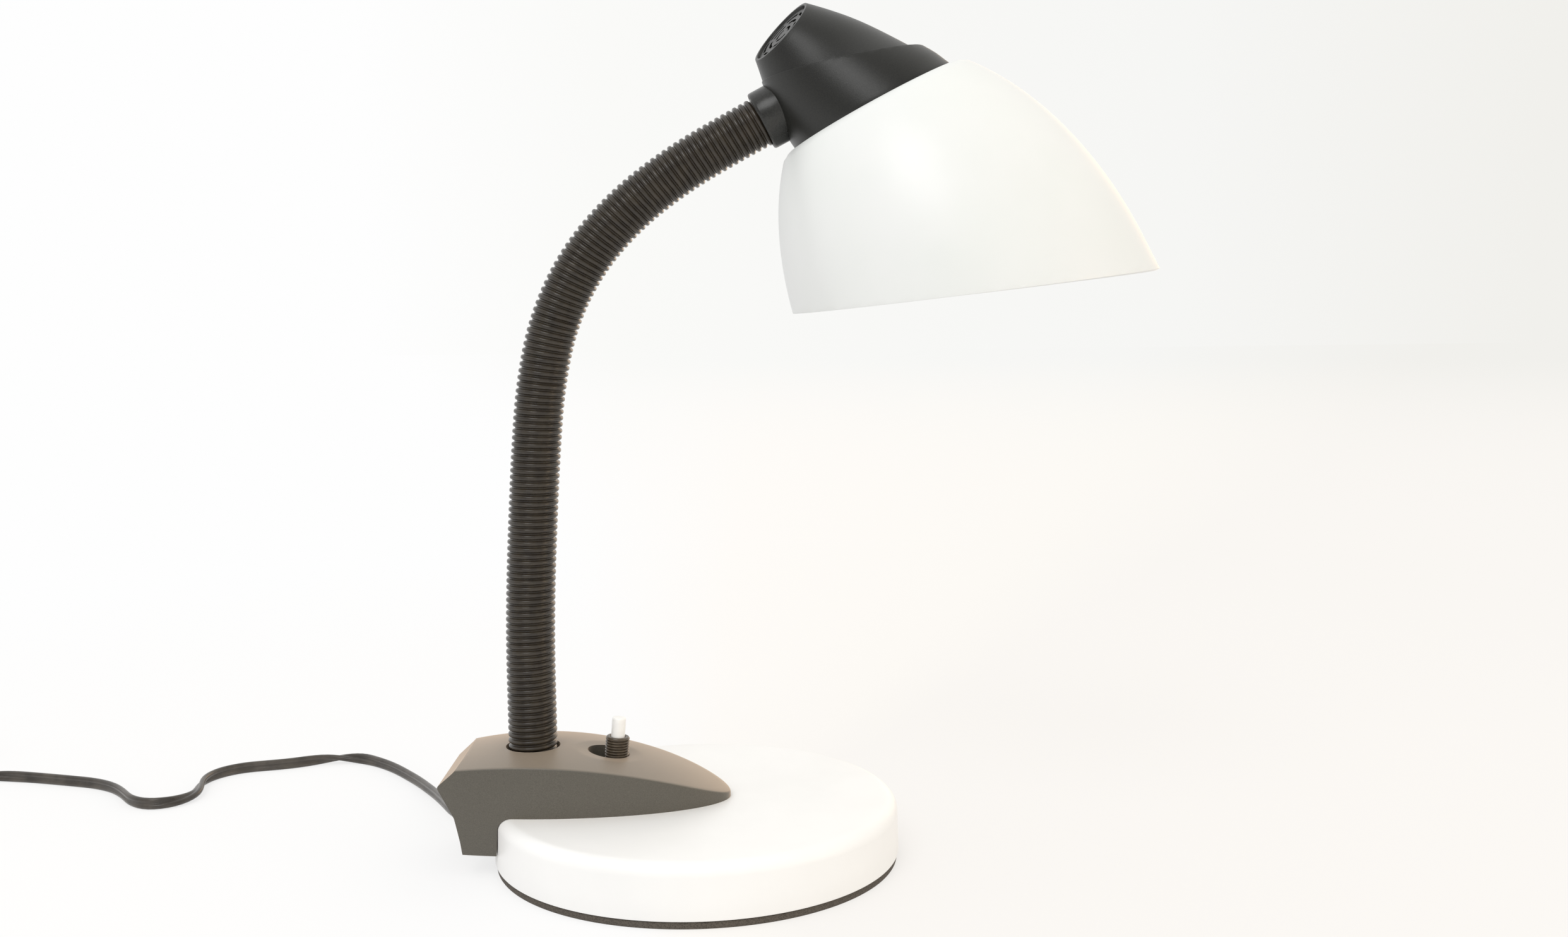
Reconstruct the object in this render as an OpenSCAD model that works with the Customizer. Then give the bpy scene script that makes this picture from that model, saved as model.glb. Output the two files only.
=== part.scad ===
// Gooseneck desk lamp: round weighted base, saddle housing with a push switch,
// corrugated flexible neck, black head with a vent, white bell shade and its bulb.
// Millimetres. The origin is the middle of the base's underside, +X is the front, +Z is up.

/* [Base] */
// Diameter of the base over its wall
base_d = 177; // [160:1:200]
// Height of the base's top face above the desk
base_h = 26; // [24:1:32]
// Radius of the rounded top edge of the base
base_edge_r = 5.5; // [4:0.5:10]
// How far the base's wall leans in on its way up
base_draft = 0.9; // [0:0.1:2.5]
// Wall of the base shell
shell_wall = 2.5; // [1.5:0.1:3.5]
// Thickness of the bottom plate
plate_t = 2.2; // [1.6:0.1:3]
// Thickness of the foam pad
pad_t = 1.7; // [1:0.1:2.5]
// How far plate and pad stand back from the wall
plate_inset = 1.9; // [0.5:0.1:3]
// Diameter of the cast weight
weight_d = 124; // [90:1:130]
// Thickness of the cast weight
weight_t = 12; // [6:0.5:13]

/* [Housing] */
// Greatest width of the housing
housing_w = 60; // [54:1:70]
// Distance of the housing's widest place behind the base's centre
housing_back = 62; // [56:1:66]
// Distance of the housing's tip in front of the base's centre
housing_front = 14.7; // [8:0.5:30]
// Height of the housing's crest above the base
crest_h = 24; // [23:0.5:27]
// Height of the housing's tip above the base
tip_h = 2.5; // [1.5:0.1:4]
// Rise of the housing's top between its sides
crown = 2.1; // [0.8:0.1:3]
// Wall of the housing
housing_wall = 2.5; // [1.8:0.1:3]
// Thickness of the leg behind the base
leg_t = 9.5; // [8:0.5:14]
// Gap under the leg
leg_gap = 9.5; // [4:0.5:12]
// How far the rear lip stands out behind the leg
lip_out = 11; // [6:0.5:13]

/* [Switch] */
// Distance of the switch behind the base's centre
switch_back = 34.8; // [32:0.5:36]
// Forward lean of the switch
switch_tilt = 5; // [0:0.5:8]
// Diameter of the hole in the housing round the switch
switch_hole_d = 18.3; // [16:0.1:19]
// How far the hole's middle lies behind the switch
switch_hole_shift = 3.6; // [0:0.1:3.8]
// Diameter of the shallow dish round the hole
dish_d = 28.5; // [24:0.5:30]
// Depth of the dish
dish_depth = 0.8; // [0.7:0.1:1.6]
// Diameter of the threaded bushing
bushing_d = 10.5; // [9:0.1:12]
// Height of the bushing above the housing
bushing_h = 7; // [6:0.1:12]
// Diameter of the push-button
button_d = 6; // [4:0.1:7]
// Height of the push-button above the bushing
button_h = 8.6; // [6:0.1:12]
// Travel of the push-button
button_travel = 3; // [2:0.1:3]

/* [Neck] */
// Distance of the neck behind the base's centre
neck_back = 71.3; // [69:0.1:73]
// Diameter of the sleeve over its ribs
sleeve_d = 21.2; // [20.6:0.1:22.4]
// Wall of the sleeve between its ribs
sleeve_wall = 0.7; // [0.5:0.1:0.9]
// Height of a rib over the sleeve's wall
rib_h = 1.1; // [0.8:0.1:1.2]
// Distance from rib to rib
rib_pitch = 2.8; // [2.6:0.05:3]
// Width of a rib
rib_w = 1.8; // [1.2:0.1:2]
// Ribs on one length of the neck
ribs_per_length = 10; // [10:1:12]
// Diameter of the steel core
core_d = 12; // [11:0.1:12.4]
// Bore of the steel core
core_bore = 7; // [5:0.1:7.4]
// Straight neck between the housing and its first bend
neck_foot = 32; // [24:1:40]

/* [Head] */
// Outer radius at the foot of the collar
collar_r = 36.8; // [36:0.1:40]
// Outer radius of the rim round the vent
vent_rim_r = 16.6; // [16:0.1:18]
// Height of the vent's middle over the collar's foot
vent_up = 45.8; // [45:0.1:50]
// How far the vent's middle lies behind the head's axis
vent_back = 19.6; // [18:0.1:21]
// Lean of the vent's face
vent_tilt = 20; // [17:0.5:22]
// Outward swell of the head between its foot and the vent
head_swell = 1.5; // [0:0.1:3]
// Wall of the head's shells
head_wall = 2.2; // [1.6:0.1:2.6]
// Step from the collar down to the cap
cap_step = 0.8; // [0.4:0.1:1.2]
// Height of the parting line at the head's axis
parting_up = 21.3; // [19:0.1:23]
// Lean of the parting line
parting_tilt = 15.5; // [12:0.5:17]
// Diameter of the neck ring
ring_d = 26.5; // [26:0.1:29]
// Distance from the head's axis to the neck ring's outer end
ring_reach = 43.5; // [42:0.5:47]
// Height of the neck's end over the collar's foot
ring_up = 17.1; // [16:0.1:18]

/* [Shade] */
// Greatest outer radius of the shade
shade_r = 74.5; // [66:0.5:82]
// Outer radius of the shade's shoulder
shade_top_r = 42; // [39:0.5:46]
// Distance from the shade's top to its widest place
shade_len = 100; // [90:1:112]
// Distance from the shade's top to its rim, on the axis
rim_drop = 87; // [84:1:92]
// Lean of the shade's rim against its axis
rim_tilt = 21; // [14:0.5:23]
// Wall of the shade
shade_wall = 2; // [1.4:0.1:2.6]

/* [Bulb] */
// Greatest diameter of the bulb
bulb_d = 55; // [45:1:60]
// Length of the bulb's glass
bulb_l = 69; // [60:1:72]
// Diameter of the bulb's screw cap
bulb_cap_d = 26; // [24:0.1:27]

/* [Cord] */
// Width of the flat twin cord
cord_w = 5.6; // [5:0.1:6.4]
// Thickness of the flat twin cord
cord_t = 2.8; // [2.4:0.1:3.2]
// Length of the strain relief outside the housing
grip_out = 19; // [14:0.5:22]
// Turn of the strain relief from straight back to the side
grip_turn = 65; // [50:1:70]
// Dip of the strain relief
grip_dip = 14; // [8:1:22]

/* [Hidden] */
$fn = 72;
small = 0.01;          // overlap of cutting tools past the face that they cut
clear = 0.3;           // gap between pieces that must not touch
slip = 0.1;            // gap round a piece that sits in a bore
thread_slip = 0.05;    // gap in a threaded fit

// Base, from the desk up
plate_z = pad_t + plate_t;
base_r = base_d / 2;
post_r = 4;
post_ring = base_r - shell_wall - post_r - 6;
screw_r = 1.4;
screw_head_r = 3;
screw_head_h = 1.5;
plate_screw_l = 12;

// Housing
crest_z = base_h + crest_h;
crest_x = -neck_back;
crest_run = housing_front + neck_back;
crest_r = (pow(crest_run, 2) + pow(crest_h - tip_h, 2)) / (2 * (crest_h - tip_h));
crown_r = (pow(housing_w / 2, 2) + pow(crown, 2)) / (2 * crown);
housing_half_l = housing_front + housing_back;
leg_x = -(base_r + leg_t);
lip_z = base_h + 12.3;
lip_foot_z = base_h - 0.5;
rear_top_x = leg_x - lip_out + 8.5;
mount_screws = [[-54, 18], [-54, -18], [-10, 0]];
mount_screw_l = 10;
housing_sides = 72;

// Neck socket inside the housing
socket_floor_z = base_h + 10.5;
socket_floor_t = 3;
sleeve_r = sleeve_d / 2;
socket_r = sleeve_r + 1.2;
ferrule_r = 5;
ferrule_flange_r = 8.3;
ferrule_flange_t = 2;
ferrule_cup_l = 8;
nut_af = 14;
nut_t = 4;
washer_t = 1;

// Neck: every length is straight for a little at its ends and bent between them.
// The list is the pose in which the lamp stands: the bend of each length, from the foot up.
neck_bends = [2, 1.5, 0.5, 1.5, 7, 14, 15, 11.5, 7.5, 2];
lengths = len(neck_bends);
length_l = rib_pitch * ribs_per_length;
length_end = 2.5 * rib_pitch;
core_r = core_d / 2;
knuckle_r = core_r - 0.4;
knuckle_gap = 2;       // from the end of one length's tube to the joint
knuckle_rise = 3;      // from the joint to the start of the next length's tube
lap = 0.5;             // how far the parts of one tube run into each other
lap_step = 0.15;       // how much wider its straight ends are than its bent middle
rib_root = sleeve_r - rib_h;
sleeve_bore = rib_root - sleeve_wall;
neck_start_z = crest_z - 1.5;
head_entry = 5.5;      // how far the core runs into the neck ring

// Head
vent_seat = 1.2;       // depth of the grille's face in its rim
grille_r = vent_rim_r - cap_step - 1.4;
grille_t = 2;
head_sides = 40;
head_rings = 6;
head_bore_rings = 3;
ring_r = ring_d / 2;
ring_pocket = 7.5;
ring_floor = 3;
strap_t = 1.5;
strap_w = 12;
holder_r = 16.5;
holder_thread_r = 19.8;
holder_flange_r = 22.5;
holder_flange_t = 3;
holder_top = 27;
holder_mouth = -14;
holder_bore_top = 18.5;
contact_z = 16;
floor_t = 2.5;
shell_t = 0.4;
shell_r = bulb_cap_d / 2 + 0.25 + shell_t;
shell_l = 25;
cap_posts = [[-18, 21], [-18, -21]];
cap_post_r = 3;
shade_hole_r = holder_thread_r + 0.4;
shade_ring_r = 25.5;
shade_ring_t = 6;

// Switch, measured along its own axis from the housing's top
deck_t = 2;
deck_top = -7.5;
switch_body_r = 8.3;
switch_flange_t = 1;
switch_body_h = 7.9;
button_flange_r = 4.7;
button_flange_t = 1.4;
button_slip = 0.2;
spring_wire = 0.5;
spring_r = 3.6;
spring_turns = 4;

// Cord: the route is a list of places from the strain relief to the coil
grip_at = [leg_x - 2.6, 7, 15.5];
grip_in = 10;          // length of its shank in the leg
grip_stop = 0.8;       // how far the ring at the shank's end stands out
way_r = 3.6;           // bore that leads the wires up into the housing
grip_r = 4.4;
grip_tip_r = 3.6;
stand_z = cord_w / 2;   // the cord stands on its edge
tie_t = 0.6;
tie_w = 4;
coil_at = [-430, 152.8];
coil_r = 31;
coil_layers = 3;
cord_route = [
    [-116, 39, 8.7], [-121, 51.5, 7.3], [-126, 64, 5.9], [-131.5, 76.5, 4.7], [-138, 89.5, 3.7],
    [-145, 102, 3.1], [-153, 114, stand_z], [-162, 126, stand_z], [-172.5, 137, stand_z],
    [-184, 145.5, stand_z], [-197, 147.8, stand_z], [-208.5, 143.5, stand_z], [-218.7, 138.2, stand_z],
    [-230, 134.6, stand_z], [-242, 131, stand_z], [-252, 121.5, stand_z], [-255.4, 108.3, stand_z],
    [-253.3, 97, stand_z], [-252, 85.9, stand_z], [-257.6, 75, stand_z], [-269.2, 71.3, stand_z],
    [-279.5, 77.5, stand_z], [-288, 89, stand_z], [-297.6, 99.5, stand_z], [-309, 106.5, stand_z],
    [-322, 111, stand_z], [-335, 115, stand_z], [-348, 118.7, stand_z], [-363, 122.2, stand_z],
    [-377, 123.2, stand_z], [-390, 121.6, stand_z], [-402, 119.6, stand_z], [-413.5, 118.6, stand_z]];
plug_l = 22;
plug_w = 19;
plug_h = 13;
plug_neck_l = 16;
blade_l = 16.5;
blade_w = 6.35;
blade_t = 1.5;
blade_gap = 12.7;

// ---------- lists and places ----------

function lerp(a, b, t) = a + (b - a) * t;

// The sum of the first k entries of a list
function first_sum(list, k) = k <= 0 ? 0 : list[k - 1] + first_sum(list, k - 1);

// Lean of the neck from upright where length k starts
function lean(k) = first_sum(neck_bends, k - 1);

// The way up the neck from a place of the given lean, as [x, z]
function up_neck(angle, dist) = dist * [sin(angle), cos(angle)];

// The chord of an arc of the given length that starts at one lean and bends by another
function arc_chord(angle, dist, bend) =
    up_neck(angle + bend / 2, dist * (bend == 0 ? 1 : sin(bend / 2) / (bend / 2 * PI / 180)));

// Where length k starts, as [x, z]
function neck_pt(k) = k <= 1
    ? [-neck_back, neck_start_z + neck_foot]
    : neck_pt(k - 1) + up_neck(lean(k - 1), length_end)
        + arc_chord(lean(k - 1), length_l - 2 * length_end, neck_bends[k - 2])
        + up_neck(lean(k), length_end);

// Triangles of a tube of rings with the same number of points, with both ends closed
function tube_faces(rings, sides) = concat(
    [[for (i = [0 : sides - 1]) i]],
    [[for (i = [sides - 1 : -1 : 0]) (rings - 1) * sides + i]],
    [for (j = [0 : rings - 2]) for (i = [0 : sides - 1]) for (half = [0, 1])
        let (a = j * sides + i, b = j * sides + (i + 1) % sides)
        half == 0 ? [a, a + sides, b + sides] : [a, b + sides, b]]);

function unit(v) = v / norm(v);
function heading(path, i) =
    unit(path[min(i + 1, len(path) - 1)] - path[max(i - 1, 0)]);

// Rings of an oval tube along a path, its width kept level
function sweep_points(path, w, h, sides) = [
    for (i = [0 : len(path) - 1])
    let (t = heading(path, i), side = unit(cross([0, 0, 1], t)), up = cross(t, side))
    for (j = [0 : sides - 1])
    path[i] + side * w / 2 * cos(360 * j / sides) + up * h / 2 * sin(360 * j / sides)];

module sweep(path, w, h, sides) {
    polyhedron(sweep_points(path, w, h, sides), tube_faces(len(path), sides));
}

// A hexagon nut or screw head that stands on the origin
module hexagon(af, h) {
    cylinder(d = af / cos(30), h = h, $fn = 6);
}

// ---------- base ----------

// Half of the base's section, drawn in all round by an inset and grown sideways by a gap
module base_section(inset = 0, grow = 0) {
    corner = [base_r - base_draft + grow - base_edge_r, base_h - base_edge_r];
    polygon([[0, plate_z], [base_r + grow - inset, plate_z],
        [corner.x + base_edge_r - inset, corner.y], corner,
        [corner.x, base_h - inset], [0, base_h - inset]]);
    translate(corner) intersection() {
        circle(r = base_edge_r - inset);
        square(base_edge_r);
    }
}

module base_form(grow = 0) {
    rotate_extrude() base_section(grow = grow);
}

module post_places() {
    for (a = [45 : 90 : 315]) rotate(a) translate([post_ring, 0, 0]) children();
}

module foam_pad() {
    color("dimgray") cylinder(r = base_r - plate_inset - 0.4, h = pad_t);
}

module bottom_plate() {
    color("black")
    difference() {
        translate([0, 0, pad_t]) cylinder(r = base_r - plate_inset, h = plate_t);
        post_places() translate([0, 0, pad_t - small]) {
            cylinder(r = screw_r + slip, h = plate_t + 2 * small);
            cylinder(r1 = screw_head_r + slip, r2 = screw_r + slip, h = screw_head_h);
        }
    }
}

module plate_screws() {
    color("silver")
    post_places() translate([0, 0, pad_t]) {
        cylinder(r1 = screw_head_r, r2 = screw_r, h = screw_head_h);
        cylinder(r = screw_r, h = plate_screw_l);
    }
}

module base_weight() {
    color("slategray")
    translate([0, 0, plate_z])
    rotate_extrude()
    polygon([[4, 0], [weight_d / 2, 0], [weight_d / 2, weight_t - 1],
        [weight_d / 2 - 1, weight_t], [4, weight_t]]);
}

module base_shell() {
    color("white")
    difference() {
        base_form();
        difference() {
            rotate_extrude() {
                base_section(shell_wall);
                square([base_r - shell_wall, plate_z + small]);
            }
            post_places() translate([0, 0, plate_z]) cylinder(r = post_r, h = base_h - plate_z);
        }
        post_places() translate([0, 0, plate_z - small]) {
            cylinder(r = screw_r + thread_slip, h = plate_screw_l);
        }
        for (p = mount_screws) translate([p.x, p.y, base_h - shell_wall - small]) {
            cylinder(r = screw_r + slip, h = shell_wall + 2 * small);
        }
    }
}

// ---------- housing ----------

function ellipse(half_l, half_w, n) =
    [for (i = [0 : n - 1]) [half_l * cos(360 * i / n), half_w * sin(360 * i / n)]];

// The saddle's outer form, drawn in all round by an inset
module saddle(inset = 0) {
    intersection() {
        translate([-housing_back, 0, 0])
        linear_extrude(height = crest_z + 1)
        polygon(ellipse(housing_half_l - inset, housing_w / 2 - inset, housing_sides));

        translate([crest_x, 0, crest_z - crest_r]) rotate([90, 0, 0])
        rotate_extrude($fn = 360)
        intersection() {
            translate([crest_r - crown_r, 0]) circle(r = crown_r - inset, $fn = 360);
            translate([0, -housing_w]) square([crest_r, 2 * housing_w]);
        }

        rotate([90, 0, 0])
        linear_extrude(height = housing_w + 2, center = true)
        polygon([[housing_front + 1, leg_gap], [housing_front + 1, crest_z + 1],
            [rear_top_x + inset, crest_z + 1], [rear_top_x + inset, crest_z - 2.5],
            [leg_x - lip_out + 1.4 * inset, lip_z], [leg_x - 3.8 + inset, lip_foot_z],
            [leg_x - 1.4 + inset, base_h / 2 + 2], [leg_x - 0.4 + inset, leg_gap]]);
    }
}

module at_neck_foot(z) {
    translate([-neck_back, 0, z]) children();
}

// The switch's own frame: its origin lies on the housing's top, +Z along the button
switch_top_z = crest_z - crest_r + sqrt(pow(crest_r, 2) - pow(neck_back - switch_back, 2));
module at_switch() {
    translate([-switch_back, 0, switch_top_z]) rotate([0, switch_tilt, 0]) children();
}

// The shallow round hollow in which the switch's hole lies, cut into the curved top
module dish() {
    away = neck_back - switch_back - switch_hole_shift;
    ball_r = 1 / (8 * dish_depth / pow(dish_d, 2) - 1 / crest_r);
    translate([crest_x + away, 0, crest_z - crest_r + sqrt(pow(crest_r, 2) - pow(away, 2))])
    rotate([0, asin(away / crest_r), 0])
    translate([0, 0, ball_r - dish_depth]) sphere(r = ball_r, $fn = 180);
}

module housing() {
    color("#3c3a38")
    difference() {
        union() {
            difference() {
                saddle();
                intersection() {
                    saddle(housing_wall);
                    translate([-300, -200, base_h]) cube([600, 400, 100]);
                }
            }
            intersection() {
                saddle(housing_wall / 2);
                union() {
                    at_neck_foot(socket_floor_z - socket_floor_t)
                    cylinder(r = socket_r + housing_wall, h = 60);
                    for (p = mount_screws) translate([p.x, p.y, base_h]) {
                        cylinder(r = post_r, h = mount_screw_l + 3);
                    }
                    at_switch() translate([-16, -housing_w / 2, deck_top - deck_t])
                    cube([30, housing_w, deck_t]);
                }
            }
        }
        base_form(clear);
        translate([0, 0, -small]) cylinder(r = base_r + clear, h = plate_z + 2 * small);
        at_neck_foot(socket_floor_z) cylinder(r = socket_r, h = 60);
        at_neck_foot(base_h) cylinder(r = ferrule_r + slip, h = 60);
        for (p = mount_screws) translate([p.x, p.y, base_h - small]) {
            cylinder(r = screw_r + thread_slip, h = mount_screw_l + 1);
        }
        at_switch() {
            translate([-switch_hole_shift, 0, -4]) cylinder(d = switch_hole_d, h = 20);
            translate([0, 0, -20]) cylinder(d = bushing_d + 2 * slip, h = 20);
        }
        dish();
        at_grip() {
            translate([0, 0, -grip_in]) cylinder(r = grip_r + slip, h = grip_in + 20);
            translate([0, 0, -grip_in - 3.5]) cylinder(r = grip_r + grip_stop + clear, h = 3.5);
        }
        translate([leg_x + 4.5, -3, grip_at.z]) cylinder(r = way_r, h = base_h);
    }
}

module housing_screws() {
    color("silver")
    for (p = mount_screws) translate([p.x, p.y, base_h - shell_wall]) {
        cylinder(r = screw_r, h = mount_screw_l + shell_wall);
        translate([0, 0, -2]) cylinder(r = screw_head_r, h = 2);
    }
}

// ---------- neck ----------

// A turned ferrule: its threaded end points down, its cup holds the core's end.
// The origin is the face on which its flange seats.
module ferrule(thread_l) {
    rotate_extrude()
    polygon([[core_bore / 2, -thread_l], [ferrule_r, -thread_l], [ferrule_r, 0],
        [ferrule_flange_r, 0], [ferrule_flange_r, ferrule_flange_t],
        [core_r + 1.6, ferrule_flange_t], [core_r + 1.6, ferrule_flange_t + ferrule_cup_l],
        [core_r + lap_step + slip, ferrule_flange_t + ferrule_cup_l],
        [core_r + lap_step + slip, ferrule_flange_t],
        [core_bore / 2, ferrule_flange_t]]);
}

module jam_nut(bore_r, h) {
    difference() {
        hexagon(nut_af, h);
        translate([0, 0, -small]) cylinder(r = bore_r + thread_slip, h = h + 2 * small);
    }
}

module foot_ferrule() {
    color("silver") at_neck_foot(socket_floor_z) ferrule(socket_floor_z - base_h - 1.2);
}

module foot_washer() {
    color("silver")
    at_neck_foot(socket_floor_z - socket_floor_t - washer_t)
    difference() {
        cylinder(r = nut_af / 2 + 1.6, h = washer_t);
        translate([0, 0, -small]) cylinder(r = ferrule_r + slip, h = washer_t + 2 * small);
    }
}

module foot_nut() {
    color("silver")
    at_neck_foot(socket_floor_z - socket_floor_t - washer_t - nut_t) jam_nut(ferrule_r, nut_t);
}

module at_neck(k) {
    translate([neck_pt(k).x, 0, neck_pt(k).y]) rotate([0, lean(k), 0]) children();
}

// A flat shape swept up an arc that bends towards +X, or straight up without a bend
module bend_sweep(dist, bend) {
    if (bend > 0) {
        rho = dist / (bend * PI / 180);
        translate([rho, 0, 0]) rotate([90, 0, 0]) rotate(180 - bend)
        rotate_extrude(angle = bend, $fn = 720) translate([rho, 0]) children();
    } else {
        linear_extrude(height = dist) children();
    }
}

// The frame at a share t of the way up an arc
module arc_place(dist, bend, t) {
    chord = arc_chord(0, dist * t, bend * t);
    translate([chord[0], 0, chord[1]]) rotate([0, bend * t, 0]) children();
}

module ring_flat(outer, inner) {
    difference() {
        circle(r = outer);
        circle(r = inner);
    }
}

// The round knuckle at a length's foot and the start of its tube
module knuckle() {
    rotate_extrude()
    difference() {
        union() {
            intersection() {
                circle(r = knuckle_r);
                translate([0, -knuckle_r]) square([knuckle_r, knuckle_r + knuckle_rise]);
            }
            translate([0, knuckle_rise])
            square([core_r + lap_step, length_end + lap - knuckle_rise]);
        }
        translate([0, -core_r]) square([core_bore / 2 + lap_step, 3 * core_r + length_end]);
    }
}

// The end of a tube, hollowed for the next length's knuckle; the joint is at its origin
module knuckle_seat(tube_l) {
    rotate_extrude()
    difference() {
        translate([core_bore / 2 + lap_step, -tube_l])
        square([core_r - core_bore / 2, tube_l - knuckle_gap]);
        circle(r = knuckle_r + clear);
    }
}

// One length of the steel core, from its knuckle to the seat of the next
module core_length(k) {
    color("silver")
    at_neck(k) {
        bend = neck_bends[k - 1];
        knuckle();
        translate([0, 0, length_end]) bend_sweep(length_l - 2 * length_end, bend)
        ring_flat(core_r, core_bore / 2);
        translate([0, 0, length_end]) arc_place(length_l - 2 * length_end, bend, 1)
        if (k < lengths) {
            translate([0, 0, length_end]) knuckle_seat(length_end + lap);
        } else {
            translate([0, 0, -lap]) linear_extrude(height = length_end + lap + head_entry)
            ring_flat(core_r + lap_step, core_bore / 2 + lap_step);
        }
    }
}

module neck_core_0() {
    color("silver")
    at_neck(1) knuckle_seat(neck_pt(1).y - socket_floor_z - ferrule_flange_t);
}

// One rib of the sleeve, in the middle of its own stretch
module rib() {
    edge = rib_w / 4;
    rotate_extrude()
    polygon([[rib_root - sleeve_wall / 2, -rib_w / 2], [sleeve_r - edge, -rib_w / 2],
        [sleeve_r, -rib_w / 2 + edge], [sleeve_r, rib_w / 2 - edge],
        [sleeve_r - edge, rib_w / 2], [rib_root - sleeve_wall / 2, rib_w / 2]]);
}

// One length of the corrugated sleeve: a single arc from joint to joint. The last one
// goes on straight into the neck ring.
module sleeve_length(k) {
    bend = neck_bends[k - 1];
    half = bend / 2;
    arc = norm(neck_pt(k + 1) - neck_pt(k)) * half * PI / 180 / sin(half);
    color("#302e2c")
    at_neck(k) {
        bend_sweep(arc, bend) ring_flat(rib_root, sleeve_bore);
        for (i = [0 : ribs_per_length - 1]) arc_place(arc, bend, (i + 0.5) / ribs_per_length) rib();
        if (k == lengths) arc_place(arc, bend, 1) {
            translate([0, 0, -lap]) linear_extrude(height = head_entry + lap)
            ring_flat(rib_root + lap_step, sleeve_bore + lap_step);
            for (i = [0 : floor(head_entry / rib_pitch) - 1]) {
                translate([0, 0, (i + 0.5) * rib_pitch]) rib();
            }
        }
    }
}

module neck_sleeve_0() {
    sleeve_l = neck_pt(1).y - socket_floor_z;
    color("#302e2c")
    at_neck(1) {
        translate([0, 0, -sleeve_l])
        linear_extrude(height = sleeve_l) ring_flat(rib_root, sleeve_bore);
        for (i = [0 : floor(sleeve_l / rib_pitch) - 1]) {
            translate([0, 0, -(i + 0.5) * rib_pitch]) rib();
        }
    }
}

// ---------- switch ----------

module switch_body() {
    color("#222222")
    at_switch() translate([0, 0, deck_top - deck_t - switch_flange_t - switch_body_h])
    difference() {
        cylinder(r = switch_body_r, h = switch_body_h);
        translate([0, 0, 1.3]) cylinder(r = button_flange_r + 0.3, h = switch_body_h);
    }
}

module switch_bushing() {
    color("#2b2b2b")
    at_switch()
    difference() {
        union() {
            translate([0, 0, deck_top - deck_t - switch_flange_t])
            cylinder(r = switch_body_r, h = switch_flange_t);
            translate([0, 0, deck_top - deck_t - small])
            cylinder(d = bushing_d, h = bushing_h - deck_top + deck_t + small);
        }
        translate([0, 0, -20]) cylinder(d = button_d + 2 * button_slip, h = 60);
    }
}

module switch_nut() {
    color("silver") at_switch() translate([0, 0, deck_top]) jam_nut(bushing_d / 2, 2.5);
}

module push_button() {
    color("white")
    at_switch() {
        top = bushing_h + button_h;
        foot = deck_top - deck_t - switch_flange_t - thread_slip - button_flange_t;
        rotate_extrude()
        polygon([[0, foot], [button_flange_r, foot],
            [button_flange_r, foot + button_flange_t], [button_d / 2, foot + button_flange_t],
            [button_d / 2, top - 1], [button_d / 2 - 1, top], [0, top]]);
    }
}

module button_spring() {
    foot = deck_top - deck_t - switch_flange_t - switch_body_h + 1.3 + spring_wire / 2 + 0.05;
    top = deck_top - deck_t - switch_flange_t - thread_slip - button_flange_t
        - spring_wire / 2 - 0.05;
    steps = 10 * spring_turns;
    color("silver")
    at_switch()
    sweep([for (i = [0 : steps])
        [spring_r * cos(i * 360 * spring_turns / steps),
        spring_r * sin(i * 360 * spring_turns / steps), lerp(foot, top, i / steps)]],
        spring_wire, spring_wire, 6);
}

// ---------- cord and plug ----------

// The strain relief's own frame: its origin lies on the leg's back, +Z along the cord
module at_grip() {
    translate(grip_at) rotate([0, 90 + grip_dip, 180 - grip_turn]) children();
}

module cord_grip() {
    color("#1c1c1c")
    at_grip()
    difference() {
        union() {
            translate([0, 0, -grip_in]) cylinder(r = grip_r, h = grip_in + 2);
            translate([0, 0, 2]) cylinder(r1 = grip_r, r2 = grip_tip_r, h = grip_out - 2);
            translate([0, 0, -grip_in - 1.5]) cylinder(r = grip_r + grip_stop, h = 1.5);
        }
        translate([0, 0, -grip_in - 2]) linear_extrude(height = grip_in + 6)
        square([cord_w, cord_t], center = true);
    }
}

grip_way = [-cos(grip_dip) * cos(grip_turn), cos(grip_dip) * sin(grip_turn), -sin(grip_dip)];
cord_start = grip_at + grip_out * grip_way;
module cord_lead() {
    color("#1c1c1c")
    sweep(concat([cord_start, cord_start + 3 * grip_way], cord_route), cord_t, cord_w, 8);
}

coil_w = 2 * cord_w;
module cord_coil() {
    color("#1c1c1c")
    translate([coil_at.x, coil_at.y, tie_t])
    rotate_extrude() translate([coil_r - coil_w / 2, 0]) square([coil_w, coil_layers * cord_t]);
}

module cord_tie() {
    color("#1c1c1c")
    translate([coil_at.x, coil_at.y, 0]) rotate(-40) translate([coil_r, 0, 0])
    rotate([90, 0, 0]) linear_extrude(height = tie_w, center = true)
    difference() {
        translate([-coil_w / 2 - tie_t - slip, 0])
        square([coil_w + 2 * tie_t + 2 * slip, coil_layers * cord_t + 2 * tie_t + slip]);
        translate([-coil_w / 2 - slip, tie_t])
        square([coil_w + 2 * slip, coil_layers * cord_t + slip]);
    }
}

// The plug lies on the coil, blades outwards
plug_z = tie_t + coil_layers * cord_t + plug_h / 2;
module at_plug() {
    translate([coil_at.x - coil_r + 6, coil_at.y, plug_z]) rotate([0, -90, 0]) children();
}

module plug_body() {
    color("#1c1c1c")
    at_plug()
    difference() {
        union() {
            linear_extrude(height = plug_l)
            difference() {
                square([plug_h, plug_w], center = true);
                for (x = [-1, 1]) for (y = [-1, 1]) translate([x * plug_h / 2, y * plug_w / 2])
                rotate(45) square(4, center = true);
            }
            translate([0, 0, -plug_neck_l])
            cylinder(r1 = cord_w / 2 + 0.8, r2 = plug_h / 2 - 0.6, h = plug_neck_l);
        }
        for (y = [-1, 1]) translate([0, y * blade_gap / 2, plug_l - 4]) {
            linear_extrude(height = 5) square([blade_t, blade_w], center = true);
        }
    }
}

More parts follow.
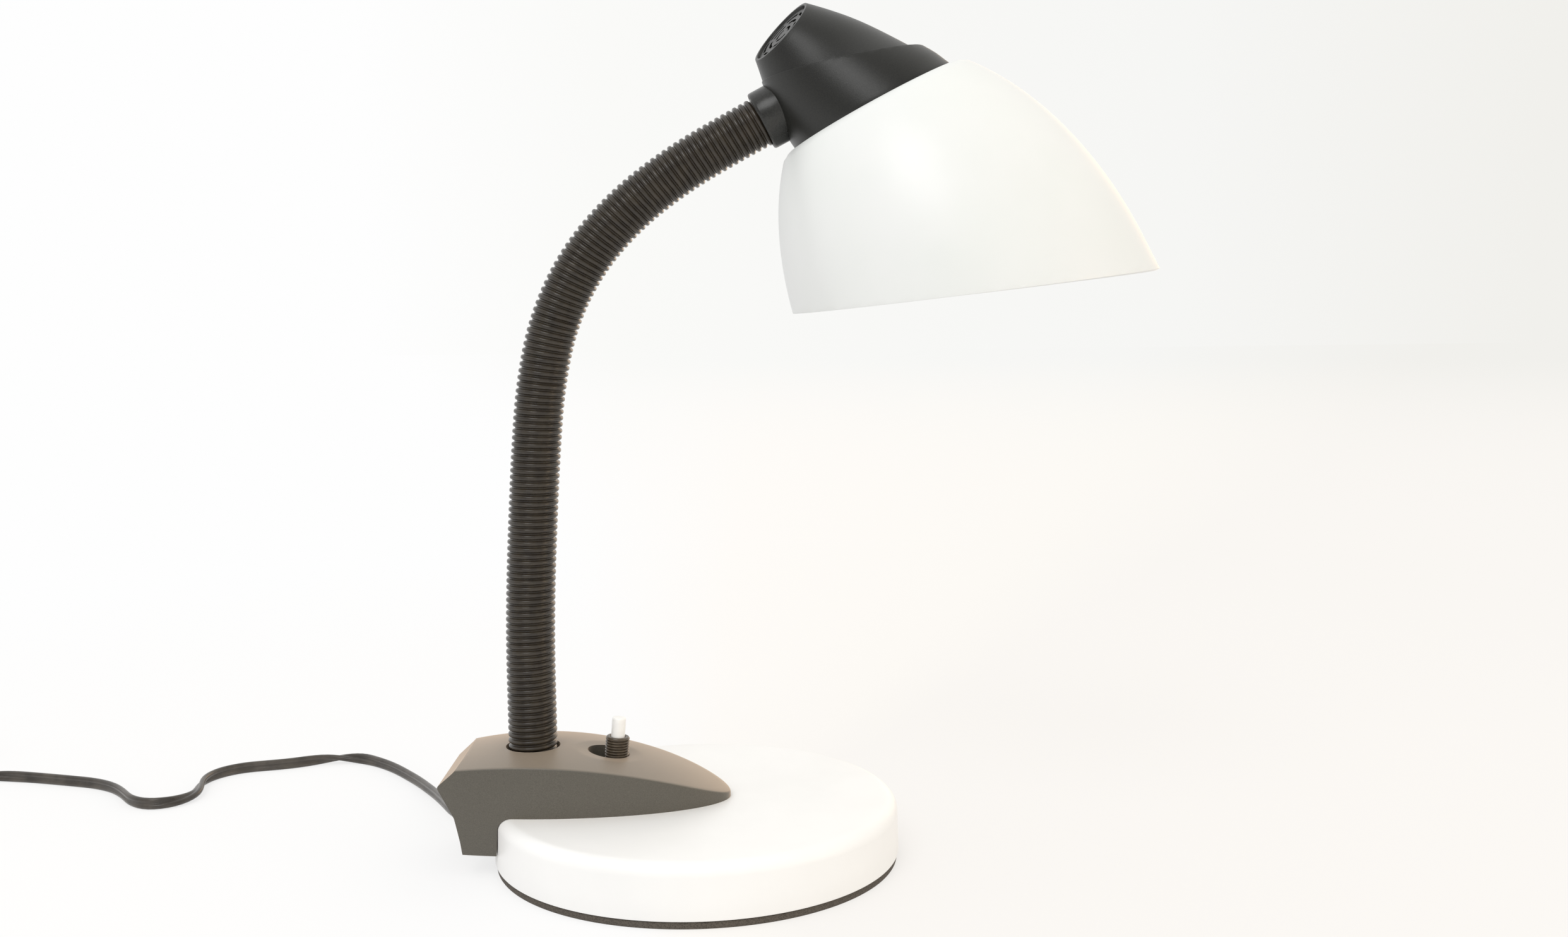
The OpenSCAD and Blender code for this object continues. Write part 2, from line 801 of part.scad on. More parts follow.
module plug_blades() {
    color("gold")
    at_plug() for (y = [-1, 1]) translate([0, y * blade_gap / 2, plug_l - 4]) {
        difference() {
            linear_extrude(height = blade_l + 4) square([blade_t, blade_w], center = true);
            translate([0, 0, blade_l]) rotate([0, 90, 0]) {
                cylinder(d = 3.2, h = 4, center = true);
            }
        }
    }
}

// ---------- head ----------

// The head's own frame: its origin is the middle of the collar's foot, +Z up its axis,
// +X square to it and forwards. The neck comes in along +X.
module at_head() {
    at_neck(lengths + 1) rotate([0, -90, 0]) translate([ring_reach, 0, -ring_up]) children();
}

// One outline of the head's form: t runs from 0 at its foot to 1 at the vent
function head_outline(t, inset) =
    let (r = lerp(collar_r, vent_rim_r, t) + head_swell * 4 * t * (1 - t) - inset)
    [for (i = [0 : head_sides - 1])
        let (a = 360 * i / head_sides)
        [-vent_back * t + r * cos(a) * cos(vent_tilt * t), r * sin(a),
        vent_up * t + r * cos(a) * sin(vent_tilt * t)]];

module head_form(inset, t0, t1, rings = head_rings) {
    polyhedron([for (j = [0 : rings - 1])
        each head_outline(lerp(t0, t1, j / (rings - 1)), inset)],
        tube_faces(rings, head_sides));
}

// All that lies over the parting line
module over_parting() {
    translate([0, 0, parting_up]) rotate([0, parting_tilt, 0])
    translate([-100, -100, 0]) cube([200, 200, 100]);
}

module at_vent() {
    translate([-vent_back, 0, vent_up]) rotate([0, -vent_tilt, 0]) children();
}

module at_ring() {
    translate([0, 0, ring_up]) rotate([0, -90, 0]) children();
}

module head_collar() {
    color("#2e2c2a")
    at_head()
    difference() {
        head_form(0, 0, 1);
        over_parting();
        difference() {
            head_form(head_wall + cap_step, -0.1, 1.1, head_bore_rings);
            translate([-60, -60, -40]) cube([120, 120, 40 + floor_t]);
        }
        translate([0, 0, -small]) cylinder(r = shade_hole_r, h = floor_t + 2 * small);
        at_ring() cylinder(r = ring_r + slip, h = 60);
        for (p = cap_posts) translate([p.x, p.y, -small]) {
            cylinder(r = screw_r + slip, h = floor_t + 1);
            cylinder(r1 = screw_head_r + slip, r2 = screw_r + slip, h = screw_head_h);
            translate([0, 0, floor_t]) cylinder(r = cap_post_r + clear, h = 30);
        }
    }
}

module head_cap() {
    color("#2e2c2a")
    at_head()
    difference() {
        union() {
            intersection() {
                difference() {
                    head_form(cap_step, 0, 1);
                    difference() {
                        head_form(cap_step + head_wall, -0.1, 1.1, head_bore_rings);
                        at_vent() translate([-50, -50, -vent_seat - grille_t - 1.5])
                        cube([100, 100, 50]);
                    }
                }
                over_parting();
            }
            intersection() {
                head_form(cap_step + head_wall / 2, 0, 0.94, head_bore_rings);
                for (p = cap_posts) translate([p.x, p.y, floor_t]) {
                    cylinder(r = cap_post_r, h = 40);
                }
            }
        }
        at_vent() {
            translate([0, 0, -vent_seat - grille_t]) cylinder(r = grille_r + slip, h = 20);
            translate([0, 0, -20]) cylinder(r = grille_r - 1.5, h = 30);
        }
        for (p = cap_posts) translate([p.x, p.y, floor_t - small]) {
            cylinder(r = screw_r + thread_slip, h = 9);
        }
    }
}

module cap_screws() {
    color("silver")
    at_head() for (p = cap_posts) translate([p.x, p.y, 0]) {
        cylinder(r1 = screw_head_r, r2 = screw_r, h = screw_head_h);
        cylinder(r = screw_r, h = floor_t + 8);
    }
}

// Rows of curved slots round the middle of the vent: [radius, number of slots]
vent_rows = [[3.8, 3], [7.4, 5], [11, 7]];
slot_w = 2;
slot_web = 2.2;
module vent_grille() {
    color("#2a2826")
    at_head() at_vent() translate([0, 0, -vent_seat - grille_t])
    difference() {
        cylinder(r = grille_r, h = grille_t);
        for (row = vent_rows) {
            web = slot_web / row[0] * 180 / PI;
            for (i = [0 : row[1] - 1]) rotate(360 * i / row[1] + web / 2 + row[0] * 5)
            translate([0, 0, -small])
            rotate_extrude(angle = 360 / row[1] - web)
            translate([row[0] - slot_w / 2, 0]) square([slot_w, grille_t + 2 * small]);
        }
    }
}

module neck_ring() {
    color("#262626")
    at_head() at_ring()
    rotate_extrude()
    polygon([[ferrule_r + slip, ring_reach - ring_pocket - ring_floor],
        [ring_r, ring_reach - ring_pocket - ring_floor], [ring_r, ring_reach - 1],
        [ring_r - 1, ring_reach], [socket_r - 0.2, ring_reach],
        [socket_r - 0.4, ring_reach - 1], [socket_r - 0.4, ring_reach - ring_pocket],
        [ferrule_r + slip, ring_reach - ring_pocket]]);
}

module head_ferrule() {
    color("silver")
    at_head() at_ring() translate([0, 0, ring_reach - ring_pocket]) ferrule(13);
}

strap_at = ring_reach - ring_pocket - ring_floor;
module holder_strap() {
    color("silver")
    at_head()
    difference() {
        union() {
            translate([-strap_at, -strap_w / 2, ring_up - 7])
            cube([strap_t, strap_w, holder_top + strap_t - ring_up + 7]);
            translate([-strap_at, -strap_w / 2, holder_top])
            cube([strap_at + 6, strap_w, strap_t]);
        }
        at_ring() translate([0, 0, strap_at - 10]) cylinder(r = ferrule_r + slip, h = 20);
        translate([0, 0, holder_top - small]) cylinder(r = screw_r + slip, h = 5);
    }
}

module head_nut() {
    color("silver")
    at_head() at_ring() translate([0, 0, strap_at - strap_t - nut_t]) jam_nut(ferrule_r, nut_t);
}

module strap_screw() {
    color("silver")
    at_head() translate([0, 0, holder_top]) {
        translate([0, 0, strap_t]) cylinder(r = screw_head_r, h = 2);
        translate([0, 0, -6]) cylinder(r = screw_r, h = 6 + strap_t);
    }
}

module lampholder() {
    bore = shell_r + 0.1;
    color("#1b1b1b")
    at_head()
    difference() {
        rotate_extrude()
        polygon([[bore + 3.5, holder_mouth], [holder_thread_r, holder_mouth],
            [holder_thread_r, floor_t], [holder_flange_r, floor_t],
            [holder_flange_r, floor_t + holder_flange_t],
            [holder_r, floor_t + holder_flange_t], [holder_r, holder_bore_top],
            [holder_r - 5, holder_top], [0, holder_top], [0, holder_bore_top],
            [bore, holder_bore_top], [bore, holder_mouth + 5]]);
        translate([0, 0, holder_top - 7]) cylinder(r = screw_r + thread_slip, h = 10);
    }
}

module screw_shell() {
    color("gold")
    at_head() translate([0, 0, holder_mouth + 5])
    difference() {
        cylinder(r = shell_r, h = shell_l);
        translate([0, 0, -small]) cylinder(r = shell_r - shell_t, h = shell_l + 2 * small);
    }
}

module centre_contact() {
    color("gold")
    at_head() translate([-5, -2.5, contact_z + slip]) {
        cube([10, 5, 0.8]);
        cube([3, 5, holder_bore_top - contact_z - slip]);
    }
}

// Outer radius of the shade at a distance below its top
function shade_radius(drop, r, len) =
    r * sqrt(1 - (1 - pow(shade_top_r / shade_r, 2)) * pow(max(0, 1 - drop / len), 2));

// Half of the shade's outer section, from its shoulder down
shade_steps = 26;
shoulder = 2.4;
function shade_side(inset) = [for (i = [0 : shade_steps])
    let (drop = lerp(shoulder, shade_len + 26, i / shade_steps))
    [shade_radius(drop, shade_r, shade_len) - inset, -drop]];

module shade() {
    color("white")
    at_head()
    difference() {
        rotate_extrude($fn = 144)
        polygon(concat([[shade_hole_r, 0], [shade_top_r - shoulder * 0.8, 0],
            [shade_top_r - shoulder * 0.2, -shoulder * 0.25]],
            shade_side(0),
            [for (i = [shade_steps : -1 : 0]) shade_side(shade_wall)[i]
                - (i == 0 ? [1.2, 1.2] : [0, 0])],
            [[shade_top_r - 5, -shade_wall], [shade_hole_r, -shade_wall]]));
        translate([0, 0, -rim_drop]) rotate([0, rim_tilt, 0])
        translate([-150, -150, -150]) cube([300, 300, 150]);
    }
}

module shade_ring() {
    grips = 16;
    color("#1b1b1b")
    at_head() translate([0, 0, -shade_wall - shade_ring_t])
    difference() {
        cylinder(r = shade_ring_r, h = shade_ring_t);
        translate([0, 0, -small]) {
            cylinder(r = holder_thread_r + thread_slip, h = shade_ring_t + 1);
            for (i = [0 : grips - 1]) rotate(360 * i / grips)
            translate([shade_ring_r + 0.8, 0, 0]) cylinder(r = 1.8, h = shade_ring_t - 1.5);
        }
    }
}

cap_top = contact_z - 3;
cap_mouth = holder_mouth + 3;
module bulb_cap() {
    r = bulb_cap_d / 2;
    rolls = 4;
    color("silver")
    at_head()
    rotate_extrude()
    polygon(concat([[0, cap_mouth + 8], [r - 2.2, cap_mouth + 6], [r - 2.2, cap_mouth],
        [r - 0.9, cap_mouth], [r - 0.9, cap_mouth + 4]],
        [for (i = [0 : 8 * rolls])
            [r - 0.45 - 0.45 * cos(360 * i / 8), lerp(cap_mouth + 4, cap_top - 3, i / 8 / rolls)]],
        [[r - 3, cap_top - 1.5], [6, cap_top], [4.5, cap_top + 1.5], [4.5, cap_top + 2.4],
        [3.5, contact_z], [0, contact_z]]));
}

glass_t = 1;
bulb_steps = 14;

// Half of the bulb's outline: a straight neck, a swell and a ball
function bulb_outline(neck, ball, ball_z, top) = concat(
    [[0, top], [neck, top], [neck, cap_mouth - 5]],
    [for (i = [1 : bulb_steps - 1]) let (t = i / bulb_steps)
        [lerp(neck, ball, (1 - cos(180 * t)) / 2), lerp(cap_mouth - 5, ball_z, t)]],
    [for (a = [0 : 6 : 84]) [ball * cos(a), ball_z - ball * sin(a)]],
    [[0, ball_z - ball]]);

module bulb_glass() {
    neck = bulb_cap_d / 2 - 0.9;
    ball = bulb_d / 2;
    ball_z = cap_mouth - bulb_l + ball;
    color("ivory")
    at_head()
    rotate_extrude()
    difference() {
        polygon(bulb_outline(neck, ball, ball_z, cap_mouth));
        polygon(bulb_outline(neck - glass_t, ball - glass_t, ball_z, cap_mouth + small));
    }
}

// ---------- what is drawn ----------

foam_pad();
bottom_plate();
plate_screws();
base_weight();
base_shell();
housing();
housing_screws();
foot_ferrule();
foot_washer();
foot_nut();
switch_body();
switch_bushing();
switch_nut();
button_spring();
push_button();
cord_grip();
cord_lead();
cord_coil();
cord_tie();
plug_body();
plug_blades();
neck_core_0();
for (k = [1 : lengths]) core_length(k);
neck_sleeve_0();
for (k = [1 : lengths]) sleeve_length(k);
head_ferrule();
head_nut();
neck_ring();
holder_strap();
strap_screw();
head_collar();
head_cap();
cap_screws();
vent_grille();
lampholder();
screw_shell();
centre_contact();
shade();
shade_ring();
bulb_cap();
bulb_glass();
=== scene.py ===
from math import cos, pi, radians, sin, sqrt

import bpy
from mathutils import Matrix, Vector


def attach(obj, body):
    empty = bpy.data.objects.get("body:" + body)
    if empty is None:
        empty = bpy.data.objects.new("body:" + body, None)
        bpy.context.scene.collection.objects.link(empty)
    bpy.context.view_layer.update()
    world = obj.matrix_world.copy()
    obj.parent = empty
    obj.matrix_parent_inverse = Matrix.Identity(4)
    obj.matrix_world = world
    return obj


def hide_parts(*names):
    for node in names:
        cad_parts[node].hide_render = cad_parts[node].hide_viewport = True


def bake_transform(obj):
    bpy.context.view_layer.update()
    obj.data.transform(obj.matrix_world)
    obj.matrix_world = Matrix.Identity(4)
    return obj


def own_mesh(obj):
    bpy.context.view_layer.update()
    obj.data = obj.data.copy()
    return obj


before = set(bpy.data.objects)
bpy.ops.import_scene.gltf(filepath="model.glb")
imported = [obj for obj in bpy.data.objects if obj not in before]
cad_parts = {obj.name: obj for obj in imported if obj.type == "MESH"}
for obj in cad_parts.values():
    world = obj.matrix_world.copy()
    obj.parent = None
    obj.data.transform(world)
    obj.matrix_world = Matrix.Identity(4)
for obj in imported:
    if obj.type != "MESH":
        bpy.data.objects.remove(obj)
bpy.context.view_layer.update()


# ---------- Studio ----------
# White paper in an evenly lit white room: a soft box high on the left, a weak one in front,
# two warmer ones low on the right and behind, and the paper throwing light back from below.

sheet_size = 12
lamp_reach, paper_reach, sheet_edge = 0.25, 0.9, 5.5


def linear(hex_colour):
    """An sRGB hex colour as linear RGBA."""
    parts = [int(hex_colour[i:i + 2], 16) / 255 for i in (1, 3, 5)]
    return [c / 12.92 if c <= 0.04045 else ((c + 0.055) / 1.055) ** 2.4 for c in parts] + [1]


def add_node(tree, kind, links=(), **settings):
    """Adds a shader node. A setting names a property, or a socket with _ for its spaces."""
    node = tree.nodes.new("ShaderNode" + kind)
    for name, value in settings.items():
        if hasattr(node, name):
            setattr(node, name, value)
        else:
            node.inputs[name.replace("_", " ")].default_value = value
    for socket, output in links:
        tree.links.new(output, node.inputs[socket])
    return node


def ramp(tree, value, *stops):
    """A colour ramp over a value; each stop is a place and a hex colour."""
    node = add_node(tree, "ValToRGB", links=[("Fac", value)])
    for i, (place, colour) in enumerate(stops):
        stop = node.color_ramp.elements[i] if i < 2 else node.color_ramp.elements.new(place)
        stop.position = place
        stop.color = linear(colour)
    return node.outputs["Color"]


def seen_directly(tree):
    """1 for rays sent by the camera, a mirror or glass, 0 for light that falls on things."""
    rays = add_node(tree, "LightPath").outputs
    either = add_node(tree, "Math", operation="MAXIMUM",
        links=[(0, rays["Is Camera Ray"]), (1, rays["Is Glossy Ray"])])
    return add_node(tree, "Math", operation="MAXIMUM",
        links=[(0, either.outputs[0]), (1, rays["Is Transmission Ray"])]).outputs[0]


def side_of_room(tree, direction, *stops):
    """A tint that changes from the room's left to its right."""
    parts = add_node(tree, "SeparateXYZ", links=[("Vector", direction)])
    return ramp(tree, add_node(tree, "MapRange", From_Min=-0.5, From_Max=0.5,
        links=[("Value", parts.outputs["X"])]).outputs[0], *stops)


world = bpy.data.worlds.new("white_room")
bpy.context.scene.world = world
world.use_nodes = True
tree = world.node_tree
way = add_node(tree, "TexCoord").outputs["Generated"]
# The side behind the camera is darker where a glossy skin mirrors it
room_seen = add_node(tree, "MapRange", From_Min=-0.5, From_Max=0.1, To_Min=0.45, To_Max=1,
    links=[("Value", add_node(tree, "SeparateXYZ", links=[("Vector", way)]).outputs["Y"])])
rays = add_node(tree, "LightPath").outputs
mirrored = add_node(tree, "Math", operation="MAXIMUM",
    links=[(0, rays["Is Glossy Ray"]), (1, rays["Is Transmission Ray"])])
room_strength = add_node(tree, "MapRange", To_Min=1, links=[("Value", mirrored.outputs[0]),
    ("To Max", room_seen.outputs[0])])
wall_tints = ((0.26, "#FEFEFE"), (0.4, "#FAFAF8"), (0.74, "#F6F6F4"), (0.92, "#F1F0EC"))
back = tree.nodes["Background"]
tree.links.new(side_of_room(tree, way, *wall_tints), back.inputs["Color"])
tree.links.new(room_strength.outputs[0], back.inputs["Strength"])

bpy.ops.mesh.primitive_plane_add(size=sheet_size, location=(0, 0, 0))
paper = bpy.context.object
paper.name = "paper_sweep"
# White matt paper: near the lamp it takes a soft shadow, and further off it is plain white
white_paper = bpy.data.materials.new("matt_white_paper")
white_paper.use_nodes = True
tree = white_paper.node_tree
tree.nodes.remove(tree.nodes["Principled BSDF"])
spot = add_node(tree, "TexCoord").outputs["Object"]
matt = add_node(tree, "BsdfDiffuse", Color=linear("#858483"))
spot_way = add_node(tree, "VectorMath", operation="NORMALIZE", links=[(0, spot)]).outputs[0]
spot_reach = add_node(tree, "VectorMath", operation="LENGTH",
    links=[(0, spot)]).outputs["Value"]
# Towards its far edge the sheet takes on the wall's tint, so that no horizon shows
edge = add_node(tree, "MapRange", From_Min=paper_reach, From_Max=sheet_edge,
    interpolation_type="SMOOTHSTEP", links=[("Value", spot_reach)])
paper_tint = add_node(tree, "Mix", data_type="RGBA", links=[(0, edge.outputs[0]),
    (6, side_of_room(tree, spot_way, (0.3, "#FEFEFE"), (0.5, "#FFFCF8"), (0.8, "#FDFAF5"),
        (0.95, "#FAF7F3"))),
    (7, side_of_room(tree, spot_way, *wall_tints))]).outputs[2]
near_glow = add_node(tree, "MapRange", To_Min=0.55, To_Max=0.74,
    links=[("Value", seen_directly(tree))])
near = add_node(tree, "Emission",
    links=[("Color", paper_tint), ("Strength", near_glow.outputs[0])])
lit = add_node(tree, "AddShader", links=[(0, matt.outputs[0]), (1, near.outputs[0])])
far_glow = add_node(tree, "MapRange", To_Min=0.7, To_Max=1,
    links=[("Value", seen_directly(tree))])
far = add_node(tree, "Emission",
    links=[("Color", paper_tint), ("Strength", far_glow.outputs[0])])
reach = add_node(tree, "MapRange", From_Min=lamp_reach, From_Max=paper_reach,
    interpolation_type="SMOOTHSTEP", links=[("Value", spot_reach)])
tree.links.new(add_node(tree, "MixShader", links=[(0, reach.outputs[0]),
    (1, lit.outputs[0]), (2, far.outputs[0])]).outputs[0],
    tree.nodes["Material Output"].inputs["Surface"])
paper.data.materials.append(white_paper)

for name, place, aim, size, power, colour in (
        ("soft_box_left", (-0.6, -1.5, 1.8), (0, 0, 0.15), 1.1, 12.5, "#FFFFFF"),
        ("soft_box_front", (0.9, -1.8, 0.9), (0.05, 0, 0.15), 1.6, 3, "#FFFBF5"),
        ("soft_box_right", (1.6, -0.55, 0.4), (0, 0, 0.15), 0.5, 2.8, "#FFDDB2"),
        ("soft_box_back", (0.9, 2.1, 0.5), (-0.05, 0, 0.05), 1.1, 5.2, "#FFD09A")):
    light = bpy.data.lights.new(name, "AREA")
    light.size = size
    light.energy = power
    light.color = linear(colour)[:3]
    lamp = bpy.data.objects.new(name, light)
    bpy.context.collection.objects.link(lamp)
    lamp.location = place
    lamp.rotation_euler = (Vector(aim) - Vector(place)).to_track_quat("-Z", "Y").to_euler()
    lamp.visible_camera = False

# A 37.7 mm lens, 0.25 m above the paper and tipped down by 6 degrees
lens = bpy.data.cameras.new("camera")
lens.sensor_width = 36
lens.lens = 37.68
lens.clip_start = 0.01
camera = bpy.data.objects.new("camera", lens)
bpy.context.collection.objects.link(camera)
camera_right = Vector((0.999924, -0.005399, -0.011065))
camera_up = Vector((0.011583, 0.107796, 0.994106))
camera_back = Vector((-0.004175, -0.994158, 0.107850))
camera_place = (0.03674, -0.70106, 0.24604)
camera.matrix_world = Matrix.Translation(camera_place) @ Matrix(
    (camera_right, camera_up, camera_back)).transposed().to_4x4()
bpy.context.scene.camera = camera
bpy.context.scene.view_settings.view_transform = "Standard"


# ---------- Supply cord ----------
# Black flat twin flex, two PVC-covered cores side by side with a groove between them.
# It leaves the leg through a strain relief, lies on edge on the desk, and its spare length
# is wound flat into a coil of two columns and three layers, held by a tie.

MM = 0.001
cord_w, cord_t = 5.6, 2.8
path_step = 3 * MM
smoothing_passes = 4


def mm(*place):
    return Vector(place) * MM


def smooth_line(points, step):
    """Places about every step along a smooth curve through the points."""
    line = []
    for i in range(len(points) - 1):
        a, b, c, d = (points[max(0, min(j, len(points) - 1))]
            for j in (i - 1, i, i + 1, i + 2))
        count = max(1, round((c - b).length / step))
        for t in (j / count for j in range(count)):
            line.append(0.5 * (2 * b + (c - a) * t + (2 * a - 5 * b + 4 * c - d) * t ** 2
                + (3 * b - a - 3 * c + d) * t ** 3))
    return line + [points[-1]]


def ease(t):
    """0 to 1 with a soft start and end."""
    t = max(0, min(1, t))
    return t * t * (3 - 2 * t)


grip_turn, grip_dip = radians(65), radians(14)
grip_way = Vector((-cos(grip_dip) * cos(grip_turn), cos(grip_dip) * sin(grip_turn),
    -sin(grip_dip)))
grip_at = mm(-100.6, 7, 15.5)
grip_l = 19
cord_exit = grip_at + grip_l * MM * grip_way
lie = cord_t / 2
stand = cord_w / 2
lead_places = [cord_exit - 6 * MM * grip_way, cord_exit, cord_exit + 3 * MM * grip_way] + [
    mm(*p) for p in (
        (-116, 39, 8.7), (-121, 51.5, 7.3), (-126, 64, 5.9), (-131.5, 76.5, 4.7),
        (-138, 89.5, 3.7), (-145, 102, 3.1), (-153, 114, stand), (-162, 126, stand),
        (-172.5, 137, stand), (-184, 145.5, stand), (-197, 147.8, stand),
        (-208.5, 143.5, stand), (-218.7, 138.2, stand), (-230, 134.6, stand),
        (-242, 131, stand), (-252, 121.5, stand), (-255.4, 108.3, stand),
        (-253.3, 97, stand), (-252, 85.9, stand), (-257.6, 75, stand),
        (-269.2, 71.3, stand), (-279.5, 77.5, stand), (-288, 89, stand),
        (-297.6, 99.5, stand), (-309, 106.5, stand), (-322, 111, stand), (-335, 115, stand),
        (-348, 118.7, stand), (-363, 122.2, 2.6), (-377, 123.2, 2.1), (-390, 121.6, 1.8),
        (-402, 119.6, 1.8), (-413, 118.6, 1.9), (-421, 118.5, 2))]
lead = smooth_line(lead_places, path_step)
for _ in range(smoothing_passes):
    lead[1:-1] = [(a + 2 * b + c) / 4 for a, b, c in zip(lead, lead[1:], lead[2:])]

coil_x, coil_y = -430, 152.8
tie_t = 0.6
inner_r, outer_r = 28.2, 33.8
wound = [(outer_r, 0), (inner_r, 0), (inner_r, 1), (outer_r, 1), (inner_r, 2), (outer_r, 2),
    (outer_r, 2)]
coil_turns, turn_steps = 5.5, 72
coil = []
for i in range(int(coil_turns * turn_steps) + 1):
    turn, part = divmod(i / turn_steps, 1)
    here, after = wound[int(turn)], wound[int(turn) + 1]
    over = ease((part - 0.8) / 0.2)
    radius, layer = (a + (b - a) * over for a, b in zip(here, after))
    angle = -pi / 2 - 2 * pi * (turn + part)
    coil.append(mm(coil_x + radius * cos(angle), coil_y + radius * sin(angle),
        tie_t + lie + layer * cord_t))
# The cord's end swings back over the coil to the plug, which lies on the coil's rim
plug_z = tie_t + 3 * cord_t + 6.5
back_r = 16.9
back_round = [mm(coil_x + back_r * sin(a), coil_y + back_r + back_r * cos(a),
    tie_t + lie + 2 * cord_t + (plug_z - tie_t - lie - 2 * cord_t) * ease(a / pi))
    for a in (radians(15 * k) for k in range(1, 13))]
into_plug = [mm(coil_x - d, coil_y, plug_z) for d in (4, 8, 12)]
cord_line = smooth_line(lead + coil + back_round + into_plug, path_step)


def pick(*pieces):
    """Selects pieces and nothing else; the first is the active one."""
    bpy.ops.object.select_all(action="DESELECT")
    for piece in pieces:
        piece.select_set(True)
    bpy.context.view_layer.objects.active = pieces[0]


def bare_line(name, points, closed=False):
    """A wire of edges through the points, ready to be extruded or spun in edit mode."""
    bpy.ops.object.select_all(action="DESELECT")
    bpy.ops.mesh.primitive_plane_add(size=MM)
    piece = bpy.context.object
    piece.name = piece.data.name = name
    bpy.ops.object.mode_set(mode="EDIT")
    bpy.ops.mesh.merge(type="CENTER")
    bpy.ops.transform.translate(value=points[0])
    for a, b in zip(points, points[1:]):
        bpy.ops.mesh.extrude_region_move(TRANSFORM_OT_translate={"value": b - a})
    if closed:
        bpy.ops.mesh.select_all(action="SELECT")
        bpy.ops.mesh.edge_face_add()
    return piece


def flat_cord(name, line, turns):
    """Two cores side by side swept along a line; turns gives its twist at each place."""
    section = bpy.data.curves.new(name + "_section", "CURVE")
    outline = section.splines.new("POLY")
    outline.use_cyclic_u = True
    half = [(cord_w / 4 + cord_t / 2 * cos(a), cord_t / 2 * sin(a))
        for a in (radians(d) for d in range(-147, 148, 21))]
    twin = half + [(-x, -z) for x, z in half]
    outline.points.add(len(twin) - 1)
    for point, (x, z) in zip(outline.points, twin):
        point.co = (x * MM, z * MM, 0, 1)
    section_piece = bpy.data.objects.new(name + "_section", section)
    bpy.context.collection.objects.link(section_piece)
    curve = bpy.data.curves.new(name, "CURVE")
    curve.dimensions = "3D"
    curve.twist_mode = "Z_UP"
    curve.bevel_mode = "OBJECT"
    curve.bevel_object = section_piece
    curve.use_fill_caps = True
    spline = curve.splines.new("POLY")
    spline.points.add(len(line) - 1)
    for point, place, turn in zip(spline.points, line, turns):
        point.co = (*place, 1)
        point.tilt = turn
    piece = bpy.data.objects.new(name, curve)
    bpy.context.collection.objects.link(piece)
    pick(piece)
    bpy.ops.object.convert(target="MESH")
    bpy.data.objects.remove(section_piece)
    piece = bpy.context.object
    piece.name = piece.data.name = name
    bpy.ops.object.shade_smooth_by_angle(angle=radians(50))
    return piece


def cord_twist(dist):
    """On edge from the leg on, over and back on the way to the bend, flat near the coil."""
    over, back, flat = (ease((dist - start) / length)
        for start, length in ((0.139, 0.046), (0.222, 0.08), (0.375, 0.045)))
    return pi / 2 + pi * (over - back) + pi / 2 * flat


run = [0]
for a, b in zip(cord_line, cord_line[1:]):
    run.append(run[-1] + (b - a).length)
cord = flat_cord("supply_cord", cord_line, [cord_twist(d) for d in run])


def new_material(name, **settings):
    """A material of one Principled shader with its constant settings."""
    material = bpy.data.materials.new(name)
    material.use_nodes = True
    shader = material.node_tree.nodes["Principled BSDF"]
    for socket, value in settings.items():
        shader.inputs[socket.replace("_", " ")].default_value = value
    return material, material.node_tree, shader


def mottled(tree, shader, size, dark, pale, detail=3):
    """Colours a shader between two shades by soft noise whose patches are size mm wide."""
    place = add_node(tree, "TexCoord").outputs["Object"]
    noise = add_node(tree, "TexNoise", Scale=1 / (size * MM), Detail=detail,
        links=[("Vector", place)])
    tree.links.new(ramp(tree, noise.outputs["Fac"], (0.35, dark), (0.65, pale)),
        shader.inputs["Base Color"])
    return place


def roughened(tree, shader, place, size, depth, detail=2):
    """Bumps a shader with grains of size mm across and depth mm high."""
    noise = add_node(tree, "TexNoise", Scale=1 / (size * MM), Detail=detail,
        links=[("Vector", place)])
    bump = add_node(tree, "Bump", Strength=1, Distance=depth * MM,
        links=[("Height", noise.outputs["Fac"])])
    tree.links.new(bump.outputs[0], shader.inputs["Normal"])
    return noise


# Soft PVC, extruded: a smooth skin with a low sheen, dusty in places
pvc, tree, shader = new_material("soft_pvc_extruded_black", Roughness=0.3)
place = mottled(tree, shader, 9, "#3A3530", "#504A43")
roughened(tree, shader, place, 0.5, 0.02)


def wear(piece, material, slot, body, *replaced):
    """Gives a piece its material and body, and hides the CAD nodes it replaces. The slot is
    not used.
    """
    piece.data.materials.clear()
    piece.data.materials.append(material)
    if body:
        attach(piece, body)
    if replaced:
        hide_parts(*replaced)


wear(cord, pvc, "cord_black", "root", "cord_lead", "cord_coil")

# The tie is a strap of the same PVC round both columns of the coil
coil_middle_r = (inner_r + outer_r) / 2
tie_way = Matrix.Translation(mm(coil_x, coil_y, 0)) @ Matrix.Rotation(radians(-40), 4, "Z")


def seat(piece, matrix):
    """Turns and moves a finished piece into place, and keeps the place in its mesh."""
    piece.matrix_world = matrix
    pick(piece)
    bpy.ops.object.transform_apply(location=True, rotation=True, scale=True)
    return piece


def finish_with(piece, kind, **settings):
    """Adds a modifier and applies it."""
    modifier = piece.modifiers.new(kind.lower(), kind)
    for name, value in settings.items():
        setattr(modifier, name, value)
    bpy.context.view_layer.objects.active = piece
    bpy.ops.object.modifier_apply(modifier=modifier.name)


def rounded_box(name, size, middle, edge, segments):
    """A box of a size in mm with rounded edges."""
    bpy.ops.object.select_all(action="DESELECT")
    bpy.ops.mesh.primitive_cube_add(size=MM)
    piece = bpy.context.object
    piece.name = piece.data.name = name
    bpy.ops.object.mode_set(mode="EDIT")
    bpy.ops.transform.resize(value=size)
    bpy.ops.transform.translate(value=mm(*middle))
    bpy.ops.mesh.bevel(offset=edge * MM, segments=segments, profile=0.5)
    bpy.ops.object.mode_set(mode="OBJECT")
    return piece


